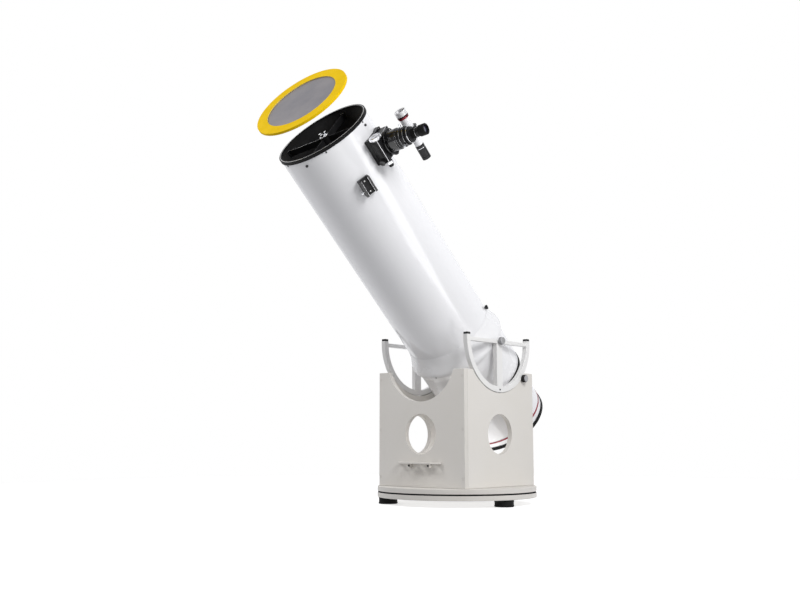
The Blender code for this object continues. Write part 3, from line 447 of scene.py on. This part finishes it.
# %% [markdown]
# ## The round boards and the rocker box
# These are chipboard with a warm white laminate. Such boards have crisp faces and a barely rounded
# edge, with a slightly duller edging strip. The faces of the two round boards that face each other are
# painted black, as painted shade in the gap between them, so it reads as a dark line. The screws that
# join the boards aren't made. Six thin caps on the front board stand for their heads.

# %% Boards
def board_coat(thin_axis, gap_shade_side=0):
    """Broad faces get the laminate and edges the edging; the last argument is the sign of a face painted
    black, as painted shade in the gap between the round boards.
    """
    return lambda c, n: 1 if abs(n[thin_axis]) < 0.7 else 2 if n[thin_axis] * gap_shade_side > 0.7 else 0


# The ground board's top and the turntable's underside are painted black: painted shade in the gap between
# them.
for board, body, axis, dark in (("ground_board", "ground", 2, 1), ("turntable_board", "rocker", 2, -1),
                                ("front_board", "rocker", 1, 0), ("side_board_right", "rocker", 0, 0),
                                ("side_board_left", "rocker", 0, 0)):
    refine(board, [LAMINATE, EDGE_BAND, DEEP_BLACK], body, 0.0005, pick=board_coat(axis, dark))
front_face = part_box("front_board")[0][1]
half_wide = 0.2252
cap_spots = [Matrix.Translation((pivot.x + sx * (half_wide - 0.010), front_face + 0.00005, z))
             @ Matrix.Rotation(pi / 2, 4, 'X') for sx in (-1, 1) for z in (0.11, 0.30, 0.505)]
studs("board_screw_caps", cap_spots, 0.0065, 0.0005, [EDGE_BAND], "rocker", socket=0.8)
refine("eyepiece_tray", [LAMINATE], "rocker", 0.0006)
tray_low, tray_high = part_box("eyepiece_tray")
screw_spots = [Matrix.Translation((pivot.x + sx * 0.050, tray_high[1] - 0.0122, tray_low[2] + 0.008))
               @ Matrix.Rotation(pi / 2, 4, 'X') for sx in (-1, 1)]
studs("tray_screws", screw_spots, 0.0042, 0.0024, [BLACK], "rocker")
print("boards done, front face at y", round(front_face, 4))

# %% [markdown]
# ## Feet, bearing and pivot
# Three rubber pucks stand under the ground board. Each is turned, with a bead round its foot and a
# shallow waist, which is how moulded feet leave their tool. The bearing ring and bolt keep their packed
# shape, with a small round on their edges.

# %% Feet, bearing and pivot
FOOT_TURN = -131.0
for i in range(3):
    a = radians(FOOT_TURN + 120 * i)
    spot = base @ Matrix.Translation((0.285 * cos(a), 0.285 * sin(a), 0))
    turned(f"rubber_foot_{i + 1}",
           [(0, 0.0267), (0.036, 0.0267), (0.0388, 0.0245), (0.0388, 0.0205), (0.0376, 0.0190),
            (0.0376, 0.0075), (0.039, 0.0060), (0.039, 0.0028), (0.0365, 0), (0, 0)],
           [RUBBER], "ground", spot, (f"foot_{i + 1}",))
refine("azimuth_bearing", [PTFE], "ground", 0.0003)
refine("pivot_bolt", [STEEL], "ground", 0.0006)
for side in ("right", "left"):
    for end in ("front", "rear"):
        refine(f"glide_pad_{side}_{end}", [PTFE], "rocker", 0.0)
print("base done")

# %% [markdown]
# ## Altitude wheels
# The wheels are flat castings with a tough powder coat. The caps on their tips are pushed-on black
# mouldings, and a grey hand knob clamps the tube to each wheel. Knobs are turned and then ribbed by
# insetting every face of the rim, which is quick and gives a real edge to each rib.

# %% Wheels, caps and knobs
KNOB_DROP = -0.0045
for side, sx in (("right", 1), ("left", -1)):
    refine(f"altitude_wheel_{side}", [POWDER], "tube", 0.0)
    for end in ("front", "rear"):
        refine(f"wheel_cap_{side}_{end}", [BLACK], "tube", 0.0008)
    face = 0.2294
    turned(f"wheel_hand_knob_{side}",
           [(0, face + 0.0175), (0.0095, face + 0.0175), (0.0105, face + 0.019), (0.0132, face + 0.019),
            (0.0155, face + 0.0165), (0.0155, face + 0.0045), (0.0115, face), (0, face)],
           [GREY, STEEL], "wheel_knob_" + side,
           hub @ Matrix.Translation((0, 0, KNOB_DROP)) @ Matrix.Rotation(sx * pi / 2, 4, 'Y'),
           ("wheel_knob_" + side,), steps=48, knurl=(face + 0.0046, face + 0.0164, 0.0155, 0.0007),
           pick=lambda c, n: 1 if c.xy.length < 0.0098 and n.z > 0.5 else 0)
    foot = hub @ Matrix.Translation((sx * 0.2291, -0.002, -0.2015)) @ Matrix.Rotation(sx * pi / 2, 4, 'Y')
    studs(f"wheel_screw_{side}", [foot], 0.0034, 0.0018, [BLACK], "tube")
fric = hub @ Matrix.Translation((0, 0.160, -0.150)) @ Matrix.Rotation(pi / 2, 4, 'Y')
turned("friction_hand_knob",
       [(0, 0.2448), (0.0105, 0.2448), (0.0112, 0.2457), (0.0135, 0.2457), (0.0155, 0.2435), (0.0155, 0.2310),
        (0.0140, 0.2297), (0.003, 0.2297), (0.003, 0.2255), (0, 0.2255)],
       [BLACK, GREY], "friction_knob", fric, ("friction_knob",), steps=40,
       knurl=(0.2312, 0.2434, 0.0155, 0.0008),
       pick=lambda c, n: 1 if c.xy.length < 0.0136 and n.z > 0.5 else 0)
print("wheels done")

# %% [markdown]
# ## The tube
# The shell is one rolled steel sheet, white outside and lined with black flock inside so that no stray
# light reaches the eyepiece. The imported model has it in three butted lengths, so they're welded into
# one mesh here and no seam shows. Faces nearer the axis than the wall's middle take the flock. The end
# rings are black. A thin pale metal ring on the mouth ring's top face is a painted highlight along its lip.

# %% Shell, end rings and stripe
to_tube = tube.inverted()
SHELL_JOINTS = (-0.057, 0.450)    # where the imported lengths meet, along the tube


def in_tube(centre):
    return (to_tube @ centre).xy.length


mouthward = (tube.to_3x3() @ Vector((0, 0, 1))).normalized()
LENGTHS = ("tube_shell_rear", "tube_shell_middle", "tube_shell_front")
bm = bmesh.new()
for length in LENGTHS:
    bm.from_mesh(nodes[length].data)
bmesh.ops.remove_doubles(bm, verts=bm.verts, dist=0.00001)
bm.normal_update()
inner_ends = [f for f in bm.faces if abs(f.normal.dot(mouthward)) > 0.9
              and any(abs((to_tube @ f.calc_center_median()).z - s) < 0.001 for s in SHELL_JOINTS)]
bmesh.ops.delete(bm, geom=inner_ends, context='FACES')
bmesh.ops.remove_doubles(bm, verts=bm.verts, dist=0.0004)
bm.normal_update()
keep(bm, "tube_skin", [ENAMEL, FLOCK], "tube", LENGTHS,
     pick=lambda c, n: 1 if in_tube(c) < TUBE_R - 0.0010 else 0, soft=40)
MOUTH = 1.0747                    # top of the mouth ring along the tube
refine("front_ring", [DEEP_BLACK], "tube", 0.0007)
# A thin pale metal ring, barely proud of the mouth ring's top face, paints the highlight along its lip.
LIP_HIGHLIGHT_PROUD = 0.00012              # less than the gap under the filter when it is seated
turned("mouth_lip_highlight", [(0.1826, MOUTH + LIP_HIGHLIGHT_PROUD), (0.1826, MOUTH - 0.0002), (0.1806, MOUTH - 0.0002),
                      (0.1806, MOUTH + LIP_HIGHLIGHT_PROUD)], [CELL], "tube", tube, steps=128,
                      ring=True, width=0.00003)
refine("rear_ring", [DEEP_BLACK], "tube", 0.0007)
refine("rear_stripe", [RED], "tube", 0.0002)
ring_screws = [on_tube(-51 + 60 * k, 1.0570) @ Matrix.Translation((0, 0, TUBE_R)) for k in range(6)]
studs("mouth_screws", ring_screws, 0.0032, 0.0018, [BLACK], "tube")
rear_screws = [on_tube(20 + 60 * k, -0.4415) @ Matrix.Translation((0, 0, TUBE_R)) for k in range(6)]
studs("cell_screws", rear_screws, 0.0034, 0.0018, [STEEL], "tube")
print("tube done")

# %% [markdown]
# ## The cradle
# A smooth white sleeve grips the tube and swells where the wheels are bolted on. Its crest and the small
# screws along it are what give away its size, so they are modelled. A black rubber band ends it below.

# %% Cradle sleeve, band and clamp
SLEEVE = [(0.1848, 0.0820), (0.1862, 0.0740), (0.1885, 0.0590), (0.1932, 0.0420), (0.1995, 0.0270),
          (0.2045, 0.0145), (0.2073, 0.0062), (0.2080, 0.0), (0.2073, -0.0062), (0.2046, -0.0130),
          (0.2006, -0.0200), (0.1976, -0.0270), (0.1963, -0.0350), (0.1958, -0.0450), (0.1958, -0.1945),
          (0.1950, -0.1958), (0.1844, -0.1960), (0.1844, 0.0820)]
turned("cradle_skin", SLEEVE, [CRADLE], "tube", tube, ("cradle_sleeve",), steps=128, ring=True,
       width=0.0)
refine("cradle_band", [RUBBER], "tube", 0.0015)
crest = [on_tube(turn, 0.0) @ Matrix.Translation((0, 0, 0.2080)) for turn in (-87, -41, 58, 93, 139, 221)]
studs("cradle_screws", crest, 0.0026, 0.0014, [BLACK], "tube")
clamp_at = on_tube(34.0, 0.082 + 0.0003 + 0.009) @ Matrix.Translation((0, 0, 0.1843))
turned("clamp_hand_knob", [(0, 0.0135), (0.0035, 0.0140), (0.0075, 0.0140), (0.009, 0.0125), (0.009, 0.0045),
                           (0.0045, 0.0038), (0.004, 0.0), (0, 0)],
       [BLACK], "cradle_clamp_knob", clamp_at, ("cradle_clamp_knob",), steps=28,
       knurl=(0.0046, 0.0124, 0.009, 0.0006))
print("cradle done")

# %% [markdown]
# ## Mirrors, cell and spider
# The primary is a thick glass disc, polished in front. It sits on three collimation bolts in an open
# cell. At the mouth four thin vanes hold the hub and the small diagonal, with three bright screws that
# show between the vanes.

# %% Optics and their holders
def mirror_coat(place):
    out = (place.to_3x3() @ Vector((0, 0, 1))).normalized()
    return lambda c, n: 0 if n.dot(out) > 0.9 else 1


GLASS_EDGE = finish("ground_glass_edge", (0.50, 0.56, 0.54), (0.44, 0.50, 0.48), 0.5, 0.7, 20.0, grain=900,
                    depth=0.3)
refine("primary_mirror", [MIRROR, GLASS_EDGE], "tube", 0.0010, pick=mirror_coat(tube))
refine("mirror_cell", [ANODISED], "tube", 0.0010)
for i in range(3):
    a = 2 * pi * i / 3
    spot = tube @ Matrix.Translation((0.132 * cos(a), 0.132 * sin(a), 0))
    turned(f"collimation_knob_{i + 1}",
           [(0, -0.4173), (0.011, -0.4173), (0.011, -0.4367), (0.004, -0.4367), (0.004, -0.4473),
            (0.0125, -0.4473), (0.014, -0.4490), (0.014, -0.4655), (0.0122, -0.4673), (0.006, -0.4673),
            (0.0055, -0.4663), (0, -0.4663)],
           [BLACK], f"collimation_bolt_{i + 1}", spot, (f"collimation_bolt_{i + 1}",),
           steps=36, knurl=(-0.4656, -0.4489, 0.014, 0.0008))
# The vane on the -X side takes pale metal on its mouthward face: a painted highlight along that vane's top
# edge.
refine("spider", [BLACK, CELL], "tube", 0.0003,
       pick=lambda c, n: 1 if n.dot(mouthward) > 0.9 and (to_tube @ c).x < -0.0175 else 0)
refine("diagonal_holder", [BLACK], "tube", 0.0006)
diagonal = tube @ Matrix.Translation((0, 0, MIDDLE)) @ Matrix.Rotation(radians(FOCUSER_TURN), 4, 'Z') \
    @ Matrix.Rotation(radians(135), 4, 'Y')
refine("diagonal_mirror", [MIRROR, GLASS_EDGE], "tube", 0.0005, pick=mirror_coat(diagonal))
HUB_TOP = 1.0593
turned("screw_plate", [(0, 0.0020), (0.0160, 0.0020), (0.0175, 0.0012), (0.0175, 0), (0, 0)], [SILVER],
       "tube", tube @ Matrix.Translation((0, 0, HUB_TOP)), ("diagonal_screws",), steps=48)
for i in range(3):
    a = radians(FOCUSER_TURN + 45 + 120 * i)
    turned(f"diagonal_screw_head_{i + 1}",
           [(0, 0.0120), (0.0032, 0.0120), (0.0036, 0.0130), (0.0050, 0.0130), (0.0058, 0.0120),
            (0.0058, 0.0055), (0.0030, 0.0048), (0.0030, 0.0021), (0, 0.0021)],
           [CHROME], "tube",
           tube @ Matrix.Translation((0.0118 * cos(a), 0.0118 * sin(a), HUB_TOP)), steps=28,
           knurl=(0.0056, 0.0119, 0.0058, 0.0004))
vane_nuts = [on_tube(FOCUSER_TURN + 90 * k, 1.042) @ Matrix.Translation((0, 0, TUBE_R)) for k in range(4)]
studs("vane_nuts", vane_nuts, 0.0048, 0.0045, [BLACK], "tube")
print("optics done")

# %% [markdown]
# ## The focuser
# A curved saddle, a block with a bright edge, and a big polished drawtube. Anodised parts stay dark
# but glossy, and thin silver lines are the bare rims that a lathe leaves. The two coarse knobs share
# a shaft, with the small fine knob on its end.

# %% Focuser base, block and drawtube
refine("focuser_base", [ANODISED], "tube", 0.0010)
refine("focuser_body", [ANODISED], "tube", 0.0008)


def edge_strip(name, low, high, wall, place, coats, body):
    """A thin frame round a block: a box without its two ends, thickened inwards."""
    bm = bmesh.new()
    size = [b - a for a, b in zip(low, high)]
    middle = [(a + b) / 2 for a, b in zip(low, high)]
    bmesh.ops.create_cube(bm, size=1.0, matrix=Matrix.Translation(middle) @ Matrix.Diagonal((*size, 1.0)))
    ends = [f for f in bm.faces if abs(f.normal.z) > 0.9]
    bmesh.ops.delete(bm, geom=ends, context='FACES')
    bmesh.ops.recalc_face_normals(bm, faces=bm.faces)
    bmesh.ops.solidify(bm, geom=bm.faces[:], thickness=wall)
    bmesh.ops.recalc_face_normals(bm, faces=bm.faces)
    bm.transform(place)
    return keep(bm, name, coats, body)


KNOB_FACE = 0.0463                # inner faces of the turning knobs, out from the focuser's middle
LINE_HALF = KNOB_FACE - 0.0002    # the line stops short of them
edge_strip("focuser_edge_line", (-0.0623, -LINE_HALF, 0.2318), (0.0473, LINE_HALF, 0.2336), 0.0012, focuser,
           [SILVER], "tube")
slab("focuser_rail", (-0.0640, -0.024, 0.2075), (-0.0618, 0.036, 0.2215), focuser, [BLACK], "tube",
     0.0009)
side_out = Matrix.Rotation(-pi / 2, 4, 'Y')
rail_screws = [focuser @ Matrix.Translation((-0.0640, y, 0.2145)) @ side_out for y in (-0.016, 0.006, 0.028)]
studs("rail_screws", rail_screws, 0.0026, 0.0012, [BLACK], "tube")
turned("saddle_thumb_nut", [(0, 0.0095), (0.0040, 0.0095), (0.0044, 0.0115), (0.0090, 0.0115),
                            (0.0112, 0.0100), (0.0112, 0.0025), (0.0095, 0.0010), (0.0045, 0.0010),
                            (0.0045, 0), (0, 0)],
       [GLOSS_BLACK], "tube",
       focuser @ Matrix.Translation((-0.0623, -0.0400, 0.2100)) @ side_out, steps=36,
       knurl=(0.0026, 0.0099, 0.0112, 0.0005))
base_screws = [focuser @ Matrix.Translation((x, y, 0.2000))
               for x in (-0.040, 0.040) for y in (-0.0492, 0.0492)]
studs("saddle_screws", base_screws, 0.0022, 0.0014, [STEEL], "tube")
turned("drawtube_skin",
       [(0.0385, 0.285), (0.0398, 0.2842), (0.0398, 0.2815), (0.0390, 0.2812), (0.0390, 0.2806),
        (0.040, 0.2802), (0.040, 0.190), (0.027, 0.190), (0.027, 0.285)],
       [GLOSS_BLACK, SILVER, FLOCK], "drawtube", focuser, ("drawtube",), steps=96,
       ring=True, width=0.0,
       pick=lambda c, n: 1 if 0.2806 < c.z < 0.2812 else 2 if c.xy.length < 0.0275 else 0)
turned("neck_ring", [(0.0500, 0.2478), (0.0505, 0.2472), (0.0505, 0.2448), (0.0500, 0.2442), (0.0478, 0.2442),
                     (0.0478, 0.2478)], [GLOSS_BLACK], "tube", focuser, steps=72, ring=True)
studs("neck_ring_legs", [focuser @ Matrix.Translation((0.0490 * cos(a), 0.0490 * sin(a), 0.2362))
                         for a in (0.6, 2.7, 4.7)], 0.0022, 0.0085, [BLACK], "tube")
print("focuser block done")

# %% Focusing knobs
shaft = focuser @ Matrix.Translation((-0.0505, 0, 0.226)) @ Matrix.Rotation(-pi / 2, 4, 'X')
turned("focus_knob_pair",
       [(0, 0.0598), (0.007, 0.0598), (0.0085, 0.0608), (0.0205, 0.0613), (0.0235, 0.0590), (0.0235, 0.0500),
        (0.0205, KNOB_FACE), (0.0035, KNOB_FACE), (0.0035, -KNOB_FACE), (0.0122, -KNOB_FACE),
        (0.014, -0.0480), (0.014, -0.0568), (0.0128, -0.0583), (0, -0.0583)],
       [SILVER], "focus_knob", shaft, ("focus_knob",), steps=64,
       knurl=(0.0501, 0.0589, 0.0235, 0.0006))
turned("fine_knob_skin",
       [(0, -0.0586), (0.0085, -0.0586), (0.0095, -0.0596), (0.0095, -0.0690), (0.0082, -0.0706),
        (0.0040, -0.0706), (0.0036, -0.0698), (0, -0.0698)],
       [BLACK], "fine_focus_knob", shaft, ("fine_focus_knob",), steps=36,
       knurl=(-0.0689, -0.0597, 0.0095, 0.0005))
lock = focuser @ Matrix.Translation((0.021, 0, 0.226)) @ Matrix.Rotation(-pi / 2, 4, 'X')
turned("lock_knob_skin",
       [(0, -KNOB_FACE), (0.003, -KNOB_FACE), (0.003, -0.0503), (0.0075, -0.0503), (0.0085, -0.0513),
        (0.0085, -0.0605), (0.0072, -0.0623), (0, -0.0623)],
       [BLACK], "focus_lock_knob", lock, ("focus_lock_knob",), steps=32,
       knurl=(-0.0604, -0.0514, 0.0085, 0.0005))
print("knobs done")

# %% [markdown]
# ## Adapter and eyepiece
# The adapter steps down from the drawtube to the barrel, with bare bright rims at each step. The
# eyepiece has a ribbed rubber grip, a soft cup and a small dark lens.

# %% Adapter, thumbscrews and eyepiece
def lined(bright, edge=0.0003):
    """Faces at one of the bright heights take coat 1."""
    return lambda c, n: 1 if any(abs(c.z - z) < edge for z in bright) and abs(n.z) < 0.9 else 0


turned("adapter_skin",
       [(0.0300, 0.3325), (0.0305, 0.3320), (0.0305, 0.3300), (0.0298, 0.3296), (0.0298, 0.3190),
        (0.0345, 0.3186), (0.0355, 0.3178), (0.0355, 0.3168), (0.0355, 0.3162), (0.0355, 0.3030),
        (0.0368, 0.3022), (0.0375, 0.3014), (0.0375, 0.3008), (0.0375, 0.2880), (0.0375, 0.2874),
        (0.0368, 0.2855), (0.0268, 0.2853), (0.0268, 0.2633), (0.0257, 0.2633), (0.0257, 0.3325)],
       [ANODISED, SILVER], "drawtube", focuser, ("eyepiece_adapter",), steps=96, ring=True,
       width=0.0, pick=lined((0.3165, 0.3011, 0.2877, 0.3310), 0.0005))
for i, turn in enumerate((90.0, 205.0)):
    spot = focuser @ Matrix.Translation((0, 0, 0.310)) @ Matrix.Rotation(radians(turn), 4, 'Z') \
        @ Matrix.Rotation(pi / 2, 4, 'Y')
    turned(f"thumbscrew_{i + 1}",
           [(0, 0.0505), (0.0042, 0.0508), (0.0048, 0.0500), (0.0048, 0.0414), (0.0042, 0.0408),
            (0.0022, 0.0408), (0.0022, 0.0358), (0, 0.0358)],
           [CHROME], f"adapter_thumbscrew_{i + 1}", spot, (f"adapter_thumbscrew_{i + 1}",),
           steps=28, knurl=(0.0415, 0.0499, 0.0048, 0.0003))
turned("eyepiece_skin",
       [(0, 0.3945), (0.0148, 0.3930), (0.0155, 0.3930), (0.0155, 0.3996), (0.0165, 0.4000), (0.0204, 0.4000),
        (0.0212, 0.3990), (0.0212, 0.3870), (0.0206, 0.3866), (0.0206, 0.3858), (0.0212, 0.3854),
        (0.0212, 0.3740), (0.0185, 0.3715), (0.0180, 0.3705), (0.0180, 0.3600), (0.0186, 0.3596),
        (0.0186, 0.3590), (0.0180, 0.3586), (0.0180, 0.3410), (0.0275, 0.3392), (0.0285, 0.3380),
        (0.0285, 0.3334), (0.0254, 0.3328), (0.0254, 0.2928), (0, 0.2928)],
       [ANODISED, RUBBER, LENS, SILVER], "eyepiece", focuser, ("eyepiece",), steps=72,
       width=0.0,
       pick=lambda c, n: 2 if c.xy.length < 0.0148 and c.z > 0.39 else 3 if 0.3589 < c.z < 0.3597 else
       1 if 0.3422 < c.z < 0.3580 or c.z > 0.3745 else 0)
bm = bmesh.new()
for k in range(30):
    a = 2 * pi * k / 30
    rib = Matrix.Rotation(a, 4, 'Z') @ Matrix.Translation((0.0181, 0, 0.3500))
    bmesh.ops.create_cube(bm, size=1.0, matrix=rib @ Matrix.Diagonal((0.0010, 0.0018, 0.0140, 1)))
round_edges(bm, 0.0003)
bm.transform(focuser)
keep(bm, "eyepiece_grip", [RUBBER], "eyepiece")
print("eyepiece done")

# %% [markdown]
# ## The finder and its shoes
# A small straight-through finder slides into a dovetail shoe. It is white like the tube, with a silver
# objective cell behind which a dark red ring shows, and a black eyepiece. A second empty shoe sits
# lower on the tube for another finder.

# %% Finder
look = finder @ Matrix.Translation((0, 0, 0.292)) @ Matrix.Rotation(-pi / 2, 4, 'X')
turned("finder_barrel",
       [(0, 0.054), (0.019, 0.054), (0.019, -0.0235), (0.0175, -0.0255), (0.0160, -0.0270), (0.0160, -0.066),
        (0, -0.066)],
       [ENAMEL], "finder", look, ("finder_tube",), steps=64, width=0.0005)
turned("finder_cell",
       [(0, 0.0795), (0.0120, 0.0803), (0.0192, 0.0800), (0.0198, 0.0858), (0.0205, 0.0860), (0.0220, 0.0860),
        (0.0225, 0.0852), (0.0225, 0.0672), (0.0219, 0.0670), (0.0219, 0.0625), (0.0225, 0.0622),
        (0.0225, 0.0605), (0.0212, 0.0543), (0, 0.0543)],
       [CELL, LENS, GARNET, BLACK], "finder", look, ("finder_objective",), steps=64, width=0.0,
       pick=lambda c, n: 1 if c.z > 0.079 and c.xy.length < 0.0188 else 3 if 0.062 < c.z < 0.0672 else
       2 if c.z < 0.0622 else 0)
turned("finder_eye",
       [(0, -0.0663), (0.0165, -0.0663), (0.0175, -0.0675), (0.0175, -0.0780), (0.0168, -0.0784),
        (0.0168, -0.0800), (0.0175, -0.0804), (0.0175, -0.1140), (0.0160, -0.1150), (0.0160, -0.1165),
        (0.0175, -0.1175), (0.0175, -0.1272), (0.0165, -0.1280), (0.0137, -0.1280), (0.0133, -0.1230),
        (0, -0.1236)],
       [BLACK, SILVER, LENS], "finder", look, ("finder_eyepiece",), steps=56, width=0.0,
       pick=lambda c, n: 1 if -0.0801 < c.z < -0.0783 else 2 if c.z < -0.122 and c.xy.length < 0.0131 else 0)
refine("finder_bracket", [ANODISED], "finder", 0.0008)
for i, turn in enumerate((35.0, 145.0)):
    spot = finder @ Matrix.Translation((0, 0, 0.292)) @ Matrix.Rotation(radians(-turn), 4, 'Y') \
        @ Matrix.Rotation(pi / 2, 4, 'Y')
    turned(f"finder_adjuster_{i + 1}",
           [(0, 0.0415), (0.0042, 0.0415), (0.0050, 0.0407), (0.0050, 0.0345), (0.0022, 0.0340),
            (0.0022, 0.0262), (0, 0.0262)], [BLACK], "finder", spot, steps=24,
            knurl=(0.0346, 0.0406, 0.0050, 0.0004))
print("finder done")

# %% Shoes and their clamp screws
for shoe, place in (("finder_shoe", finder), ("spare_shoe", spare)):
    refine(shoe, [ANODISED], "tube", 0.0009)
    spot = place @ Matrix.Translation((-0.023, -0.010, 0.2010)) @ Matrix.Rotation(-pi / 2, 4, 'Y')
    turned(f"{shoe}_clamp",
           [(0, 0.0125), (0.0046, 0.0125), (0.0054, 0.0117), (0.0054, 0.0052), (0.0046, 0.0045),
            (0.0024, 0.0042), (0.0024, 0), (0, 0)], [CHROME], "tube", spot, steps=28,
           knurl=(0.0053, 0.0116, 0.0054, 0.0004))
    for end, x in (("near", -0.0185), ("far", 0.0185)):
        slab(f"{shoe}_{end}_jaw", (x - 0.0045, -0.033, 0.2066), (x + 0.0045, 0.033, 0.2098), place,
             [GLOSS_BLACK], "tube", 0.0007)
        inner = x - 0.0048 if x > 0 else x + 0.0040
        slab(f"{shoe}_{end}_line", (inner, -0.0325, 0.2067), (inner + 0.0008, 0.0325, 0.2101), place,
             [SILVER], "tube", 0.0002)
heads = [spare @ Matrix.Translation((0, y, 0.1970)) for y in (-0.022, 0.022)]
studs("spare_shoe_screws", heads, 0.0028, 0.0010, [STEEL], "tube")
print("shoes done")

# %% [markdown]
# ## The solar filter
# The filter is a ring of layered yellow card with a sheet of metallised film stretched behind its
# opening. The film is never quite flat: long soft wrinkles run over it, so its surface is moved a
# fraction of a millimetre by smooth noise before it is placed.

# %% Card ring and film
turned("filter_card",
       [(0.1895, 0.0050), (0.1900, 0.0045), (0.1900, 0.0012), (0.1896, 0.0010), (0.1900, 0.0008),
        (0.1900, -0.0045), (0.1895, -0.0050), (0.1530, -0.0050), (0.1527, 0.0018), (0.1454, 0.0018),
        (0.1454, 0.0047), (0.1457, 0.0050)],
       [CARD, CARD_EDGE], "solar_filter", lifted, ("solar_filter_ring",), steps=128, ring=True,
       width=0.0, pick=lambda c, n: 1 if abs(n.z) < 0.5 and c.xy.length < 0.146 else 0)
FILM_TOP = 0.0014
bm = bmesh.new()
rings = [bm.verts.new((0.1520 * k / 14, 0, FILM_TOP)) for k in range(15)]
rings += [bm.verts.new((0.1520, 0, FILM_TOP - 0.0012)), bm.verts.new((0, 0, FILM_TOP - 0.0012))]
spokes = [bm.edges.new(pair) for pair in zip(rings, rings[1:])]
bmesh.ops.spin(bm, geom=rings + spokes, cent=(0, 0, 0), axis=(0, 0, 1), angle=2 * pi, steps=96,
               use_merge=True)
bmesh.ops.remove_doubles(bm, verts=bm.verts, dist=0.00002)
bmesh.ops.recalc_face_normals(bm, faces=bm.faces)
for v in bm.verts:
    reach = v.co.xy.length / 0.1520
    calm = max(0.0, 1.0 - reach ** 6)
    v.co.z += 0.00035 * calm * noise.noise(Vector((v.co.x * 14, v.co.y * 5, 3.1)))
bm.transform(lifted)
keep(bm, "filter_film", [FILM], "solar_filter", ("solar_film",), weighted=False)
print("filter done")
